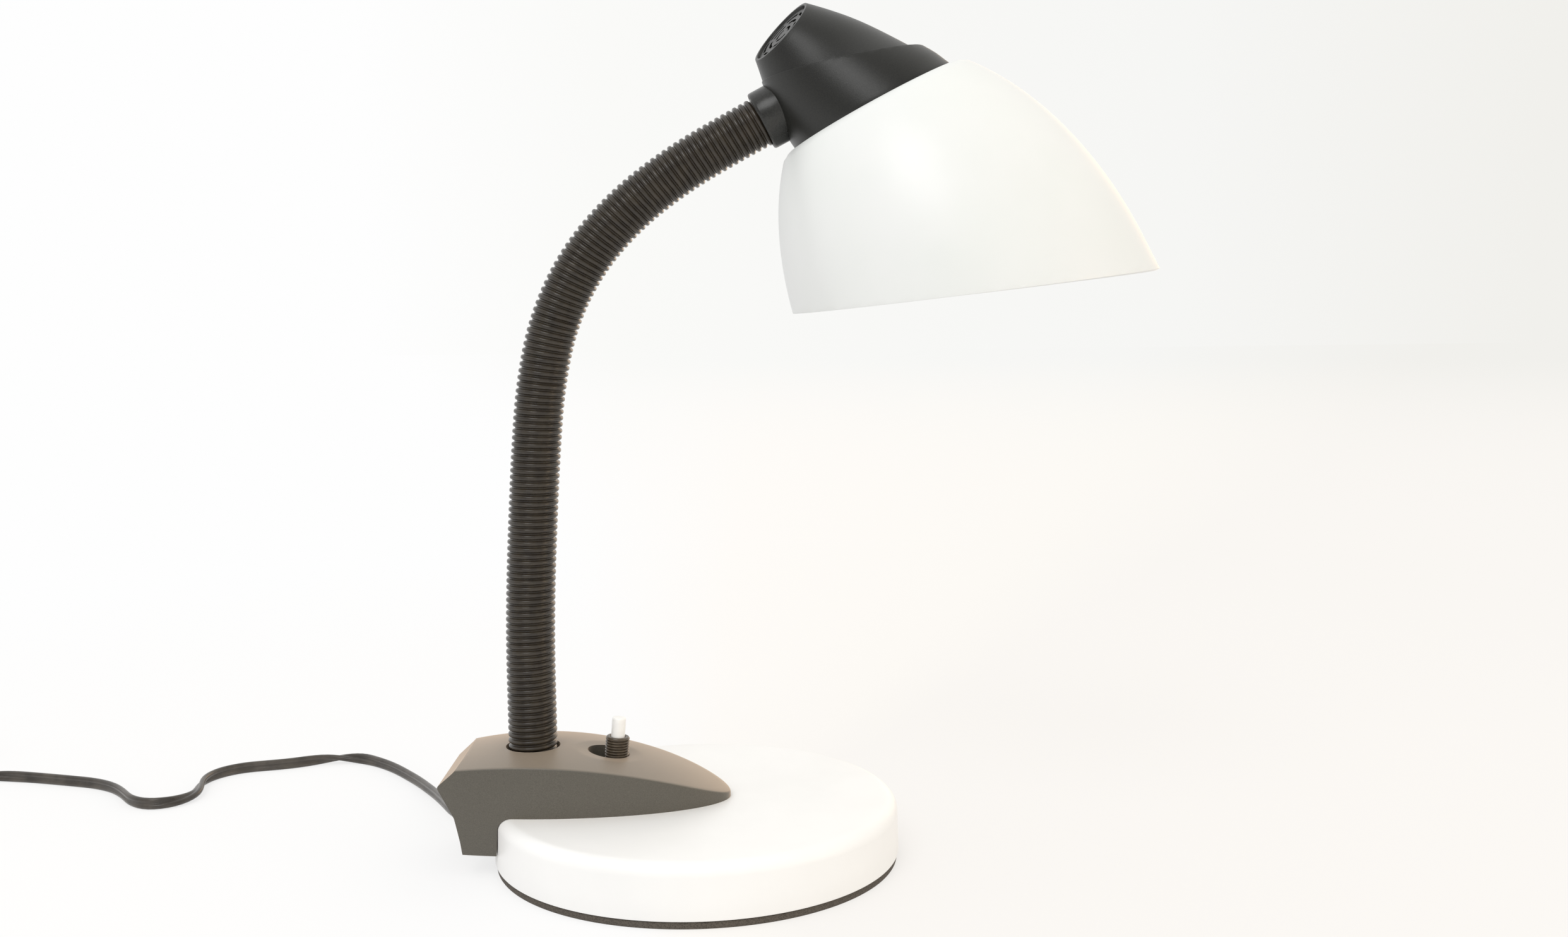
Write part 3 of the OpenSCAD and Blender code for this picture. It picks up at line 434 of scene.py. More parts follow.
def close_up():
    """Merges doubles, turns all faces outwards and leaves edit mode."""
    bpy.ops.mesh.select_all(action="SELECT")
    bpy.ops.mesh.remove_doubles(threshold=1e-6)
    bpy.ops.mesh.normals_make_consistent(inside=False)
    bpy.ops.object.mode_set(mode="OBJECT")


def strap_loop(name, width, height, thick, breadth):
    """A closed band that stands in the XZ plane round an oblong."""
    r = 1.2
    corners = [(width / 2 - r, height - r, 0), (-width / 2 + r, height - r, 90),
        (-width / 2 + r, r, 180), (width / 2 - r, r, 270)]
    line = [mm(x + r * cos(radians(start + a)), 0, z + r * sin(radians(start + a)))
        for x, z, start in corners for a in (0, 30, 60, 90)]
    piece = bare_line(name, line + [line[0]])
    bpy.ops.mesh.select_all(action="SELECT")
    bpy.ops.transform.translate(value=mm(0, -breadth / 2, 0))
    bpy.ops.mesh.extrude_region_move(TRANSFORM_OT_translate={"value": mm(0, breadth, 0)})
    close_up()
    finish_with(piece, "SOLIDIFY", thickness=thick * MM, offset=-1)
    finish_with(piece, "BEVEL", width=0.15 * MM, segments=2, limit_method="ANGLE")
    bpy.ops.object.shade_smooth_by_angle(angle=radians(40))
    return piece


tie = strap_loop("cord_tie_strap", 12.6, 9.7, tie_t, 4)
seat(tie, tie_way @ Matrix.Translation(mm(coil_middle_r, 0, 0)))
wear(tie, pvc, "cord_black", "root", "cord_tie")


def turned(name, outline, sides=96, closed=False):
    """Turns an outline of (radius, height) in mm about Z, like work on a lathe."""
    points = [mm(r, 0, z) for r, z in outline]
    piece = bare_line(name, points + points[:1] if closed else points)
    bpy.ops.mesh.select_all(action="SELECT")
    bpy.ops.mesh.spin(steps=sides, angle=2 * pi, center=(0, 0, 0), axis=(0, 0, 1))
    close_up()
    bpy.ops.object.shade_smooth_by_angle(angle=radians(35))
    return piece


# The strain relief is moulded in one with short ribs, and tapers towards the cord
grip_r, grip_ribs, grip_pitch = 4.4, 6, 2.6
grip_outline = [(0, -2), (grip_r, -2), (grip_r, 2.2)]
for k in range(grip_ribs):
    foot = 3 + grip_pitch * k
    r = grip_r - 0.8 * (foot - 2) / 17
    grip_outline += [(r - 0.9, foot - 0.5), (r - 0.9, foot + 0.2), (r - 0.15, foot + 0.4),
        (r, foot + 0.7), (r, foot + 1.7), (r - 0.15, foot + 2)]
grip_outline += [(3.6, grip_l - 0.2), (3.4, grip_l), (0, grip_l)]
grip = turned("strain_relief", grip_outline, sides=48)
seat(grip, Matrix.Translation(grip_at) @ grip_way.to_track_quat("Z", "Y").to_matrix().to_4x4())
wear(grip, pvc, "cord_black", "root", "cord_grip")

# The plug is moulded on, with pulled-in sides for the fingers, and two flat brass blades
plug_frame = Matrix.Translation(mm(-455, coil_y, plug_z)) @ Matrix.Rotation(-pi / 2, 4, "Y")
plug = rounded_box("plug_moulding", (13, 19, 22), (0, 0, 11), 2.2, 4)
bpy.ops.object.mode_set(mode="EDIT")
for height in (5, 8, 11, 14, 17):
    bpy.ops.mesh.select_all(action="SELECT")
    bpy.ops.mesh.bisect(plane_co=mm(0, 0, height), plane_no=(0, 0, 1))
bpy.ops.object.mode_set(mode="OBJECT")
waist_z, waist_half = 11, 9
for v in plug.data.vertices:
    height = v.co.z / MM
    if 2.1 < height < 19.9:
        v.co.y *= 1 - 0.13 * (1 - ((height - waist_z) / waist_half) ** 2)
plug_tail = turned("plug_tail", [(0, 1), (5.9, 1), (5.7, -1), (5.2, -2), (4.9, -2.2),
    (5.1, -3.4), (4.9, -4.6), (4.4, -4.9), (4.7, -6.4), (4.5, -7.6), (4, -7.9), (4.3, -9.4),
    (4.1, -10.6), (3.6, -10.9), (3.8, -12.8), (3.6, -15.6), (3.2, -16), (0, -16)], sides=40)
pick(plug, plug_tail)
bpy.ops.object.join()
bpy.ops.object.shade_smooth_by_angle(angle=radians(35))
seat(plug, plug_frame)
wear(plug, pvc, "cord_black", "root", "plug_body")

# Brass, stamped: yellow, finely pitted and a little dull
brass, tree, shader = new_material("brass_stamped", Metallic=1, Roughness=0.32)
place = mottled(tree, shader, 3, "#B88D45", "#D2AC62")
roughened(tree, shader, place, 0.3, 0.01)


def dress(material, *names):
    """Gives CAD nodes whose shape is right their finish."""
    for name in names:
        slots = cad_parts[name].data.materials
        slots.clear()
        slots.append(material)


dress(brass, "plug_blades", "screw_shell", "centre_contact")


# ---------- Base ----------
# A round ABS shell over an iron weight, closed by a steel plate that four screws hold,
# on a pad of foam. The shell is moulded with a slight draft and a round top edge.

base_r, base_h, edge_r, draft, wall = 88.5, 26, 5.5, 0.9, 2.5
corner_r = base_r - draft - edge_r
round_edge = [(corner_r + edge_r * sin(radians(a)), base_h - edge_r + edge_r * cos(radians(a)))
    for a in range(0, 91, 6)]
inner_edge = [(corner_r + (edge_r - wall) * sin(radians(a)),
    base_h - edge_r + (edge_r - wall) * cos(radians(a))) for a in range(90, -1, -15)]
base = turned("base_shell_moulding", [(0, base_h), (20, base_h), (40, base_h), (60, base_h)]
    + round_edge + [(87.8, 11), (88, 3.8), (87.9, 3.3), (87.6, 3.2), (86, 3.2), (85.6, 11)]
    + inner_edge + [(40, base_h - wall), (0, base_h - wall)], sides=192)
# ABS, moulded and polished: warm white, low gloss, a trace of flow under the surface
white_abs, tree, shader = new_material("abs_moulded_white_satin", Roughness=0.38)
place = mottled(tree, shader, 40, "#F5F4F2", "#F8F7F5")
roughened(tree, shader, place, 1.1, 0.012, detail=1)
wear(base, white_abs, "base_white", "root", "base_shell")

pad = turned("foam_foot_pad", [(0, 0), (87, 0), (87.2, 0.3), (87.3, 1.2), (87.2, 2.4),
    (87, 2.7), (86.6, 2.8), (86.6, 1.7), (0, 1.7)], sides=144)
# EVA foam, sliced: dull and greyed by dust, with cut cells about 0.6 mm across
foam, tree, shader = new_material("eva_foam_cut_black", Roughness=0.9)
place = add_node(tree, "TexCoord").outputs["Object"]
cell_size = 0.6 * MM
cells = add_node(tree, "TexVoronoi", Scale=1 / cell_size, links=[("Vector", place)])
tree.links.new(ramp(tree, cells.outputs["Distance"], (0.1, "#3E3933"), (0.6, "#5B544C")),
    shader.inputs["Base Color"])
bump = add_node(tree, "Bump", Distance=0.15 * MM,
    links=[("Height", cells.outputs["Distance"])])
tree.links.new(bump.outputs[0], shader.inputs["Normal"])
wear(pad, foam, "pad_foam", "root", "foam_pad")

# Steel plate, black powder coat: an even orange peel
powder, tree, shader = new_material("steel_powder_coated_black", Roughness=0.55)
place = mottled(tree, shader, 6, "#1E1D1D", "#262525")
roughened(tree, shader, place, 0.8, 0.05)
dress(powder, "bottom_plate")
# Grey iron, cast and dipped: dark, pitted by the sand
iron, tree, shader = new_material("iron_cast_dipped_grey", Roughness=0.7, Metallic=0.6)
place = mottled(tree, shader, 5, "#3F4246", "#565A5E")
roughened(tree, shader, place, 1.6, 0.3, detail=5)
dress(iron, "base_weight")
# Steel, bright zinc plated: pale, faintly blue, unevenly bright
zinc, tree, shader = new_material("steel_zinc_plated", Metallic=1, Roughness=0.34)
place = mottled(tree, shader, 2.5, "#A9ADB0", "#C6C9CB")
roughened(tree, shader, place, 0.4, 0.01)
dress(zinc, "plate_screws", "housing_screws", "foot_ferrule", "foot_washer", "foot_nut",
    "switch_nut", "head_ferrule", "head_nut", "holder_strap", "strap_screw",
    "cap_screws", *(f"neck_core_{k}" for k in range(11)))


# ---------- Housing ----------
# A black ABS saddle: an oval plan with a long arched top, which sits on the base, reaches
# down behind it as a leg, and ends in a thin lip. Three screws hold it from below. Its top
# is sunk in a soft dish round the switch and opens for the neck.

neck_x = -71.3
crest_z, crest_r, crown_r = 50.0, 182.75, 215.3
oval_x, oval_l, oval_w = -62.0, 76.7, 30.0
dish_x, dish_r, dish_depth = -38.4, 14.25, 0.8
oval_foot, oval_shoulder, oval_top = 9.5, 24.5, 49.5


def housing_top(x, y):
    """The top's height in mm at a place in the plan."""
    across = crest_r - crown_r + sqrt(crown_r ** 2 - y ** 2)
    sunk = dish_depth * (1 - ((x - dish_x) ** 2 + y ** 2) / dish_r ** 2)
    soft_sunk = (sunk + sqrt(sunk ** 2 + 0.004)) / 2
    return crest_z - crest_r + sqrt(across ** 2 - (x - neck_x) ** 2) - soft_sunk


bpy.ops.object.select_all(action="DESELECT")
bpy.ops.mesh.primitive_circle_add(vertices=160, radius=oval_w * MM, fill_type="NGON")
housing = bpy.context.object
housing.name = housing.data.name = "housing_moulding"
bpy.ops.object.mode_set(mode="EDIT")
bpy.ops.transform.resize(value=(oval_l / oval_w, 1, 1))
bpy.ops.transform.translate(value=mm(oval_x, 0, oval_foot))
for rise in (oval_shoulder - oval_foot, oval_top - oval_shoulder):
    bpy.ops.mesh.extrude_region_move(TRANSFORM_OT_translate={"value": mm(0, 0, rise)})
top_rings = 56
for k in range(top_rings):
    bpy.ops.mesh.extrude_region_move()
    ratio = 0.95 if k == 0 else (top_rings - k) / (top_rings - k + 1)
    bpy.ops.transform.resize(value=(ratio, ratio, 1), center_override=mm(oval_x, 0, oval_top))
bpy.ops.mesh.merge(type="CENTER")
close_up()
for v in housing.data.vertices:
    if v.co.z > 40 * MM:
        v.co.z = MM * housing_top(v.co.x / MM, v.co.y / MM)
finish_with(housing, "BEVEL", width=0.7 * MM, segments=3, limit_method="ANGLE",
    angle_limit=radians(60))


def carve(piece, tool, operation="DIFFERENCE"):
    """Cuts a piece with a tool body, or keeps what they share, and removes the tool."""
    finish_with(piece, "BOOLEAN", operation=operation, object=tool, solver="EXACT")
    bpy.data.objects.remove(tool)


side_view = [(20, 6), (20, 60), (-94, 60), (-94, 48.9), (-96.6, 48.5), (-98.6, 48.0),
    (-99.9, 47.2), (-100.9, 46.0), (-102, 44.8), (-108.4, 39.1), (-108.9, 38.4),
    (-108.9, 37.7), (-108.4, 36.7), (-103.2, 27.9), (-101.8, 25.2), (-100.9, 21.5),
    (-99.4, 15), (-98.5, 9.2), (-98.3, 6)]
tool_half_w = 40
cheek = bare_line("cheek_tool", [mm(x, -tool_half_w, z) for x, z in side_view], closed=True)
bpy.ops.mesh.extrude_region_move(
    TRANSFORM_OT_translate={"value": mm(0, 2 * tool_half_w, 0)})
bpy.ops.mesh.select_all(action="SELECT")
bpy.ops.mesh.normals_make_consistent(inside=False)
bpy.ops.object.mode_set(mode="OBJECT")
carve(housing, cheek, "INTERSECT")
gap = 0.3
under = turned("base_tool", [(0, base_h), (40, base_h)] + [(r + gap, z) for r, z in round_edge]
    + [(88.8, 3.9), (88.8, 0), (0, 0)], sides=192)
carve(housing, under)


def bore_tool(r, foot, top, frame_matrix):
    """A round bar that cuts a bore along a frame's Z."""
    return seat(turned("bore_tool", [(0, foot), (r, foot), (r, top), (0, top)], sides=72),
        frame_matrix)


switch_frame = Matrix.Translation(mm(-34.8, 0, 46.32)) @ Matrix.Rotation(radians(5), 4, "Y")
neck_bore_r, switch_bore_r, switch_bore_back = 11.8, 9.15, 3.6
carve(housing, bore_tool(neck_bore_r, 36.5, 70, Matrix.Translation(mm(neck_x, 0, 0))))
carve(housing, bore_tool(switch_bore_r, -16, 20,
    switch_frame @ Matrix.Translation(mm(-switch_bore_back, 0, 0))))
pick(housing)
bpy.ops.object.shade_smooth_by_angle(angle=radians(30))
# ABS, moulded against a spark-eroded tool: a matt grain about 0.4 mm across, which shines
# warmly where light grazes it
grained_abs, tree, shader = new_material("abs_spark_grained_black", Roughness=0.4,
    Sheen_Weight=0.9, Sheen_Roughness=0.33, Sheen_Tint=linear("#FFE3C8"))
place = mottled(tree, shader, 0.35, "#524E46", "#5E5A51", detail=2)
grain = roughened(tree, shader, place, 0.36, 0.035)
tree.links.new(add_node(tree, "MapRange", To_Min=0.34, To_Max=0.5,
    links=[("Value", grain.outputs["Fac"])]).outputs[0], shader.inputs["Roughness"])
# Grey-brown dust and a painted highlight: the faces that look up are painted paler grey-brown,
# thinner towards the edges
up = add_node(tree, "SeparateXYZ", links=[("Vector", add_node(tree, "NewGeometry")
    .outputs["Normal"])]).outputs["Z"]
dust_and_painted_highlight = add_node(tree, "MapRange", From_Min=0.35, From_Max=0.98, To_Max=0.8,
    interpolation_type="SMOOTHSTEP", links=[("Value", up)])
plain = shader.inputs["Base Color"].links[0].from_socket
dust_and_highlight_colour = add_node(tree, "Mix", data_type="RGBA", links=[(0, dust_and_painted_highlight.outputs[0]), (6, plain)])
# The paler grey-brown of the dust and painted highlight on the top
dust_and_highlight_colour.inputs[7].default_value = linear("#80776B")
tree.links.new(dust_and_highlight_colour.outputs[2], shader.inputs["Base Color"])
wear(housing, grained_abs, "housing_black", "root", "housing")


# ---------- Neck ----------
# A steel gooseneck in a black PVC sleeve with a rounded rib wound round it every 2.8 mm.
# The sleeve is pushed into the housing and into the head's neck ring. Each stretch of it
# reaches from the middle of one length of the neck to the middle of the next.

neck_bends = [2, 1.5, 0.5, 1.5, 7, 14, 15, 11.5, 7.5, 2]
length_count = len(neck_bends)
length_l, length_end = 28.0, 7.0
rib_pitch, rib_root, sleeve_r = 2.8, 9.5, 10.6


def up_neck(lean, dist):
    """A step of a length along a line that leans forwards from upright."""
    return Vector((sin(lean), 0, cos(lean))) * dist


def chord(arc_l, bend):
    """The straight distance between an arc's ends."""
    return arc_l * sin(bend / 2) / (bend / 2)


first_joint_z = 80.5
joints = [Vector((neck_x, 0, first_joint_z))]
leans = [0]
for bend in (radians(b) for b in neck_bends):
    lean = leans[-1]
    joints.append(joints[-1] + up_neck(lean, length_end)
        + up_neck(lean + bend / 2, chord(length_l - 2 * length_end, bend))
        + up_neck(lean + bend, length_end))
    leans.append(lean + bend)


def neck_place(dist):
    """The neck's middle line in mm and its lean, at a distance above the first joint."""
    k = int(max(0, min(length_count, dist // length_l)))
    if dist < 0 or k == length_count:
        return joints[k] + up_neck(leans[k], dist - k * length_l), leans[k]
    part = dist / length_l - k
    bend = leans[k + 1] - leans[k]
    full = (joints[k + 1] - joints[k]).length
    reach = full * (sin(bend * part / 2) / sin(bend / 2))
    return joints[k] + up_neck(leans[k] + bend * part / 2, reach), leans[k] + bend * part


rib_wave = [(0, 0), (0.09, 0.06), (0.17, 0.5), (0.25, 0.8), (0.36, 0.96), (0.5, 1),
    (0.64, 0.96), (0.75, 0.8), (0.83, 0.5), (0.91, 0.06), (1, 0)]


def wound_skin(name, ribs):
    """A straight stretch of ribbed sleeve that stands on Z = 0."""
    piece = bare_line(name, [mm(rib_root + (sleeve_r - rib_root) * h, 0, rib_pitch * t)
        for t, h in rib_wave])
    bpy.ops.object.mode_set(mode="OBJECT")
    finish_with(piece, "SCREW", axis="Z", angle=2 * pi, screw_offset=rib_pitch * MM,
        iterations=ribs, steps=48, render_steps=48, use_merge_vertices=True)
    bpy.ops.object.mode_set(mode="EDIT")
    close_up()
    finish_with(piece, "SOLIDIFY", thickness=0.6 * MM, offset=-1)
    bpy.ops.object.shade_smooth_by_angle(angle=radians(60))
    return piece


# PVC, extruded and wound: brown-black with a soft gloss
sleeve_pvc, tree, shader = new_material("pvc_wound_sleeve_black", Roughness=0.26)
place = mottled(tree, shader, 4, "#2A241D", "#373026")
roughened(tree, shader, place, 0.6, 0.02)
# The lowest stretch also reaches down into the housing, and the last ends in the neck ring
foot_ribs, stretch_ribs, last_ribs = 20, 10, 7
for k in range(length_count + 1):
    ribs = stretch_ribs
    start = (k - 0.5) * length_l
    if k == 0:
        ribs = foot_ribs
        start = length_l / 2 - ribs * rib_pitch
    if k == length_count:
        ribs = last_ribs
    sleeve = wound_skin(f"sleeve_stretch_{k}", ribs)
    for v in sleeve.data.vertices:
        middle, lean = neck_place(start + v.co.z / MM)
        v.co = middle * MM + Vector((v.co.x * cos(lean), v.co.y, -v.co.x * sin(lean)))
    wear(sleeve, sleeve_pvc, "sleeve_black", "head" if k == length_count else None,
        f"neck_sleeve_{k}")
    if k < length_count:
        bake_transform(sleeve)


# ---------- Switch ----------
# A push switch hangs on a nylon bushing with a 1.2 mm thread. Its white rod slides in the
# bushing and stands out of it, on a coil spring.

def wound_thread(name, root, crest, pitch, turns, foot):
    """One closed, rounded ridge wound round Z, with a narrow groove beside it."""
    depth = crest - root
    ridge = [(root - 0.2, 0), (root + depth * 0.5, pitch * 0.13), (crest - depth * 0.15,
        pitch * 0.27), (crest, pitch * 0.42), (crest, pitch * 0.54), (crest - depth * 0.15,
        pitch * 0.69), (root + depth * 0.5, pitch * 0.83), (root - 0.2, pitch * 0.98)]
    piece = bare_line(name, [mm(r, 0, foot + z) for r, z in ridge], closed=True)
    bpy.ops.object.mode_set(mode="OBJECT")
    finish_with(piece, "SCREW", axis="Z", angle=2 * pi, screw_offset=pitch * MM,
        iterations=turns, steps=48, render_steps=48, use_normal_calculate=True)
    return piece


bushing_bore, thread_root, thread_crest, thread_pitch = 3.2, 4.4, 5.25, 1.2
bushing = turned("switch_bushing_turned", [(bushing_bore, -10.5), (8.3, -10.5), (8.3, -9.5),
    (thread_root, -9.5), (thread_root, 5.7), (5.0, 6.0), (5.05, 6.5), (4.8, 6.9), (4.5, 7.0),
    (3.6, 7.0), (3.3, 6.8), (bushing_bore, 6.5)], sides=64, closed=True)
thread = wound_thread("bushing_thread", thread_root, thread_crest, thread_pitch, 12, -8.6)
pick(bushing, thread)
bpy.ops.object.join()
bpy.ops.object.mode_set(mode="EDIT")
bpy.ops.mesh.select_all(action="SELECT")
bpy.ops.mesh.fill_holes(sides=0)
bpy.ops.object.mode_set(mode="OBJECT")
bpy.ops.object.shade_smooth_by_angle(angle=radians(35))
seat(bushing, switch_frame)
# Nylon, moulded with its thread: brown-black, low sheen
nylon, tree, shader = new_material("nylon_moulded_black", Roughness=0.3)
place = mottled(tree, shader, 1.5, "#493F33", "#594E40")
roughened(tree, shader, place, 0.3, 0.012)
wear(bushing, nylon, "switch_black", "root", "switch_bushing")
dress(nylon, "switch_body")

rod_foot, rod_r, flange_r = -11.95, 3, 4.7
rod = turned("switch_rod", [(0, rod_foot), (flange_r, rod_foot), (flange_r, -10.6),
    (rod_r, -10.5), (rod_r, 8), (rod_r, 14.6), (2.85, 15.1), (2.5, 15.4), (2, 15.5), (1, 15.6),
    (0, 15.6)], sides=64)
seat(rod, switch_frame)
button_abs, tree, shader = new_material("abs_moulded_white_button", Roughness=0.3)
place = mottled(tree, shader, 2, "#F8F6F2", "#FCFAF6")
roughened(tree, shader, place, 0.5, 0.008)
wear(rod, button_abs, "button_white", "button", "push_button")

# The spring is four turns of zinc-plated wire between the switch's floor and the rod's
# flange. The rod's stroke of 3 mm takes up most of their length.
spring_foot, spring_top = -17.03, -12.03
wire_r, spring_r, spring_turns = 0.25, 3.6, 4
spring_pitch = (spring_top - spring_foot - 2 * wire_r) / spring_turns
spring = bare_line("switch_spring", [mm(spring_r + wire_r * cos(k * pi / 4), 0,
    spring_foot + wire_r + wire_r * sin(k * pi / 4)) for k in range(8)], closed=True)
bpy.ops.object.mode_set(mode="OBJECT")
finish_with(spring, "SCREW", axis="Z", angle=2 * pi, screw_offset=spring_pitch * MM,
    iterations=spring_turns, steps=32, render_steps=32, use_normal_calculate=True)
bpy.ops.object.mode_set(mode="EDIT")
bpy.ops.mesh.select_all(action="SELECT")
bpy.ops.mesh.fill_holes(sides=0)
bpy.ops.mesh.normals_make_consistent(inside=False)
bpy.ops.object.mode_set(mode="OBJECT")
bpy.ops.object.shade_smooth_by_angle(angle=radians(35))
seat(spring, switch_frame)
wear(spring, zinc, "zinc_steel", "root", "button_spring")
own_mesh(spring)


# ---------- Head ----------
# Two black ABS shells, a collar and a domed cap that two screws pull onto it, with a
# vent grille snapped into the cap's rim. The neck enters through a ring in the collar's
# back. All of it is made about the head's own axis, then turned 27.5 degrees forwards.

head_frame = Matrix.Translation(mm(78.885, 0, 321.816)) \
    @ Matrix.Rotation(radians(-27.5), 4, "Y")
head_r, vent_r, head_swell = 36.8, 16.6, 1.5
vent_back, vent_up, vent_tilt, vent_roll = 19.6, 45.8, radians(20), radians(16)
head_sides, head_steps = 96, 24
ring_up = 17.1


def head_ring(t):
    """Middle, radius and lean of the head's outline at a share t of the way up."""
    return (mm(-vent_back * t, 0, vent_up * t),
        head_r + (vent_r - head_r) * t + head_swell * 4 * t * (1 - t), -vent_tilt * t)


def head_shell(name, first, inset):
    """Raises rings from a first radius through the head's outline, a skin without ends."""
    bpy.ops.object.select_all(action="DESELECT")
    bpy.ops.mesh.primitive_circle_add(vertices=head_sides, radius=first * MM)
    piece = bpy.context.object
    piece.name = piece.data.name = name
    bpy.ops.object.mode_set(mode="EDIT")
    middle, lean, r = Vector((0, 0, 0)), 0, first
    for k in range(head_steps + 1):
        place, full_r, new_lean = head_ring(k / head_steps)
        new_r = full_r - inset
        bpy.ops.mesh.extrude_edges_move(TRANSFORM_OT_translate={"value": place - middle})
        bpy.ops.transform.resize(value=(new_r / r,) * 3, center_override=place)
        bpy.ops.transform.rotate(value=lean - new_lean, orient_axis="Y", center_override=place)
        middle, lean, r = place, new_lean, new_r
    return piece, middle, r


collar = head_shell("head_collar_moulding", 20.2, 0)[0]
parting_tilt, parting_z = radians(16.2), 20.8
parting_way = Vector((sin(parting_tilt), 0, cos(parting_tilt)))
bpy.ops.mesh.select_all(action="SELECT")
bpy.ops.mesh.normals_make_consistent(inside=False)
bpy.ops.mesh.bisect(plane_co=mm(0, 0, parting_z), plane_no=parting_way, clear_outer=True)
bpy.ops.object.mode_set(mode="OBJECT")
# The collar's front swells by 0.9 mm above its lower edge
for v in collar.data.vertices:
    v.co.x += MM * 0.9 * ease(v.co.x / MM / 34) * ease(v.co.z / MM / 9)
finish_with(collar, "SOLIDIFY", thickness=2.2 * MM, offset=-1)
finish_with(collar, "BEVEL", width=0.5 * MM, segments=3, limit_method="ANGLE",
    angle_limit=radians(50))
bpy.ops.object.shade_smooth_by_angle(angle=radians(35))
seat(collar, head_frame)
# ABS, moulded with a fine texture: near black, with a soft broad highlight
head_abs, tree, shader = new_material("abs_fine_grained_black", Roughness=0.34)
place = mottled(tree, shader, 0.5, "#141411", "#1D1D19", detail=2)
grain = roughened(tree, shader, place, 0.35, 0.03)
tree.links.new(add_node(tree, "MapRange", To_Min=0.3, To_Max=0.44,
    links=[("Value", grain.outputs["Fac"])]).outputs[0], shader.inputs["Roughness"])
wear(collar, head_abs, "housing_black", "head", "head_collar")

# The cap's skin turns in at the vent and down to the ledge that the grille rests on
cap, middle, r = head_shell("head_cap_moulding", 36, 0.8)
vent_way = Vector((-sin(vent_tilt), 0, cos(vent_tilt)))
rim_r, ledge_r, ledge_down = 14.5, 12.9, 3.3
for new_r, rise in ((rim_r, 0), (rim_r, -ledge_down), (ledge_r, -ledge_down)):
    place = mm(-vent_back, 0, vent_up) + vent_way * rise * MM
    bpy.ops.mesh.extrude_edges_move(TRANSFORM_OT_translate={"value": place - middle})
    bpy.ops.transform.resize(value=(new_r / r,) * 3, center_override=place)
    middle, r = place, new_r
close_up()
# The vent's rim also leans to one side, and the foot of the cap sits back from the front
for v in cap.data.vertices:
    v.co.z += v.co.y * sin(vent_roll) * ease((v.co.z / MM - 8) / 31)
    v.co.x -= MM * 1.5 * ease((40 - v.co.z / MM) / 30)
bpy.ops.object.mode_set(mode="EDIT")
bpy.ops.mesh.select_all(action="SELECT")
bpy.ops.mesh.bisect(plane_co=mm(0, 0, parting_z), plane_no=parting_way, clear_inner=True)
bpy.ops.object.mode_set(mode="OBJECT")
finish_with(cap, "SOLIDIFY", thickness=2 * MM, offset=-1)
finish_with(cap, "BEVEL", width=0.35 * MM, segments=3, limit_method="ANGLE",
    angle_limit=radians(50))
bpy.ops.object.shade_smooth_by_angle(angle=radians(35))
seat(cap, head_frame)
wear(cap, head_abs, "housing_black", "head", "head_cap")

# The vent grille is a flat disc with three rows of curved slots
grille_r, grille_top, grille_foot, slot_w, slot_web = 14.3, -1.2, -3.2, 1.5, 1.9
grille = turned("vent_grille_disc", [(0, grille_top), (13.9, grille_top), (grille_r, -1.6),
    (grille_r, grille_foot), (0, grille_foot)], sides=96)
for row_r, count in ((3.8, 3), (7.4, 5), (11, 7)):
    web = slot_web / row_r
    inner, outer = row_r - slot_w / 2, row_r + slot_w / 2
    for k in range(count):
        slot = bare_line("slot_tool", [mm(inner, 0, -4), mm(outer, 0, -4), mm(outer, 0, 0),
            mm(inner, 0, 0)], closed=True)
        bpy.ops.mesh.spin(steps=8, angle=2 * pi / count - web, center=(0, 0, 0),
            axis=(0, 0, 1))
        bpy.ops.mesh.select_all(action="SELECT")
        bpy.ops.mesh.normals_make_consistent(inside=False)
        bpy.ops.object.mode_set(mode="OBJECT")
        seat(slot, Matrix.Rotation(2 * pi * k / count + web / 2 + radians(5 * row_r), 4, "Z"))
        carve(grille, slot)
pick(grille)
bpy.ops.object.shade_smooth_by_angle(angle=radians(35))
seat(grille, head_frame @ Matrix.Translation(mm(-vent_back, 0, vent_up))
    @ Matrix.Rotation(-vent_tilt, 4, "Y") @ Matrix.Rotation(vent_roll, 4, "X"))
wear(grille, head_abs, "housing_black", "head", "vent_grille")

# The neck ring is a cup: the ferrule goes through its floor and the sleeve into its mouth
ring_frame = head_frame @ Matrix.Translation(mm(0, 0, ring_up)) \
    @ Matrix.Rotation(-pi / 2, 4, "Y")
ferrule_bore, sleeve_bore, ring_r, ring_floor, ring_mouth = 5.1, 11.3, 12.6, 36, 44.3
ring = turned("neck_ring_turned", [(ferrule_bore, 30), (12.4, 30), (ring_r, 30.4),
    (ring_r, 43.2), (12.45, 43.9), (12.1, ring_mouth), (11.8, ring_mouth), (11.5, 43.9),
    (sleeve_bore, 43), (sleeve_bore, ring_floor), (ferrule_bore, ring_floor)], sides=96,
    closed=True)
seat(ring, ring_frame)
# The same ABS, turned smooth: a little glossier than the moulded skin
smooth_abs, tree, shader = new_material("abs_turned_black", Roughness=0.27)
place = mottled(tree, shader, 0.8, "#1F1F1D", "#2B2B28")
roughened(tree, shader, place, 0.4, 0.01)
wear(ring, smooth_abs, "housing_black", "head", "neck_ring")


# ---------- Shade ----------
# A bell of white ABS, 2 mm thick, cut off aslant. It is clamped under the head by a
# grooved phenolic ring on the lampholder's thread.

shade_r, shade_top_r, shade_len, rim_drop = 74.5, 42.0, 100.0, 87.0
rim_tilt = radians(21)


def shade_radius(drop):
    """The bell's outer radius at a drop in mm below its top."""
    return shade_r * sqrt(1 - (1 - (shade_top_r / shade_r) ** 2)
        * max(0, 1 - drop / shade_len) ** 2)


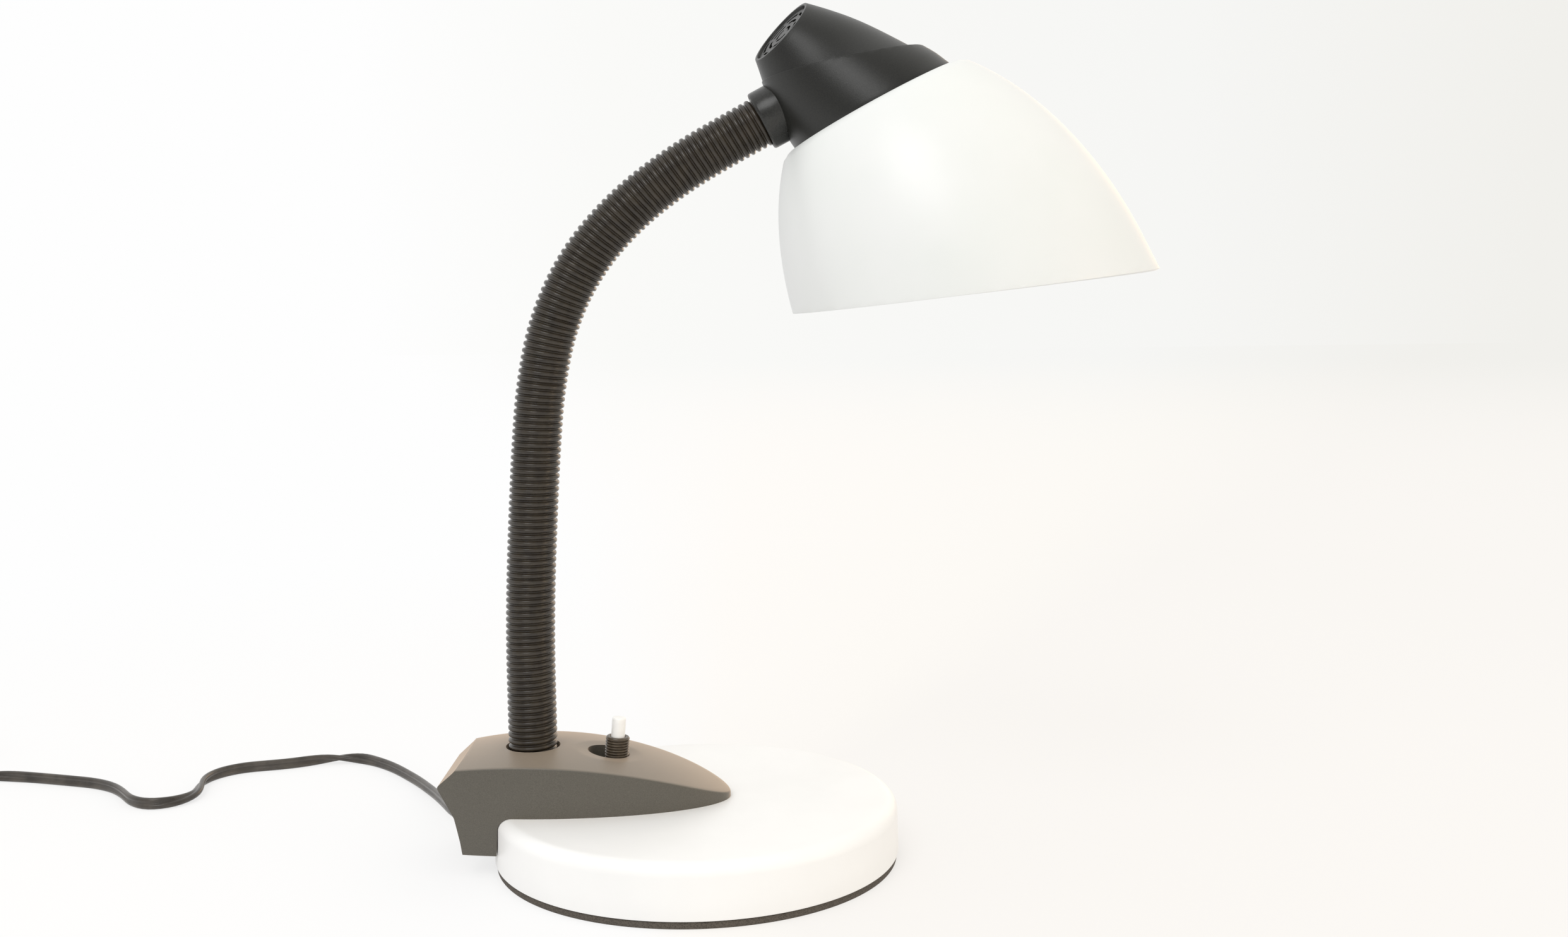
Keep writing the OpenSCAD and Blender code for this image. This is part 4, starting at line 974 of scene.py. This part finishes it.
drops = [2 + 124 * (k / 40) ** 1.3 for k in range(41)]
shade = turned("shade_moulding", [(20.4, 0), (30, 0), (39, 0), (40.1, -0.1), (41, -0.4),
    (41.7, -0.9)] + [(shade_radius(d), -d) for d in drops], sides=160)
seat(shade, head_frame)
bpy.ops.object.mode_set(mode="EDIT")
bpy.ops.mesh.select_all(action="SELECT")
bpy.ops.mesh.bisect(plane_co=head_frame @ mm(0, 0, -rim_drop), clear_inner=True,
    plane_no=head_frame.to_3x3() @ Vector((sin(rim_tilt), 0, cos(rim_tilt))))
bpy.ops.object.mode_set(mode="OBJECT")
finish_with(shade, "SOLIDIFY", thickness=2 * MM, offset=-1)
finish_with(shade, "BEVEL", width=0.5 * MM, segments=3, limit_method="ANGLE",
    angle_limit=radians(50))
bpy.ops.object.shade_smooth_by_angle(angle=radians(35))
# ABS, moulded and polished: a pale, faintly green grey-white with soft reflections
shade_abs, tree, shader = new_material("abs_polished_shade_white", Roughness=0.36)
place = mottled(tree, shader, 45, "#E8EAE7", "#EBECEA")
roughened(tree, shader, place, 2.2, 0.01, detail=1)
wear(shade, shade_abs, "shade_white", "head", "shade")

# Phenolic, pressed: black and hard, with a slight gloss
phenolic, tree, shader = new_material("phenolic_pressed_black", Roughness=0.28)
place = mottled(tree, shader, 3, "#1A1918", "#262422")
roughened(tree, shader, place, 0.5, 0.015)
dress(phenolic, "shade_ring", "lampholder")


# ---------- Bulb ----------
# An opal glass ball on a plain neck in a rolled aluminium screw cap.

ball_r, ball_z, neck_r, neck_z = 27.5, -52.5, 12.1, -16
glass_line = [(0, 5), (8, 5), (neck_r, 3), (neck_r, -12), (neck_r, neck_z)]
glass_line += [(neck_r + (ball_r - neck_r) * (1 - cos(pi * t)) / 2,
    neck_z + (ball_z - neck_z) * t) for t in (k / 16 for k in range(1, 16))]
glass_line += [(ball_r * cos(radians(a)), ball_z - ball_r * sin(radians(a)))
    for a in range(0, 90, 5)] + [(0, ball_z - ball_r)]
glass = turned("bulb_glass_blown", glass_line, sides=96)
seat(glass, head_frame)
# Glass, blown and coated white inside: bright, very smooth, glossy
opal, tree, shader = new_material("glass_blown_opal", Roughness=0.08, Coat_Weight=0.6,
    Coat_Roughness=0.03, Subsurface_Weight=0.25)
shader.inputs["Subsurface Radius"].default_value = (0.004, 0.004, 0.003)
place = mottled(tree, shader, 12, "#F3F1EA", "#F7F5EF")
roughened(tree, shader, place, 6, 0.02, detail=0)
wear(glass, opal, "bulb_opal", "head", "bulb_glass")
# Aluminium, rolled: bright, with a fine grain
rolled, tree, shader = new_material("aluminium_rolled", Metallic=1, Roughness=0.28)
place = mottled(tree, shader, 1.5, "#B9BBBC", "#D2D3D3")
roughened(tree, shader, place, 0.25, 0.01)
dress(rolled, "bulb_cap")
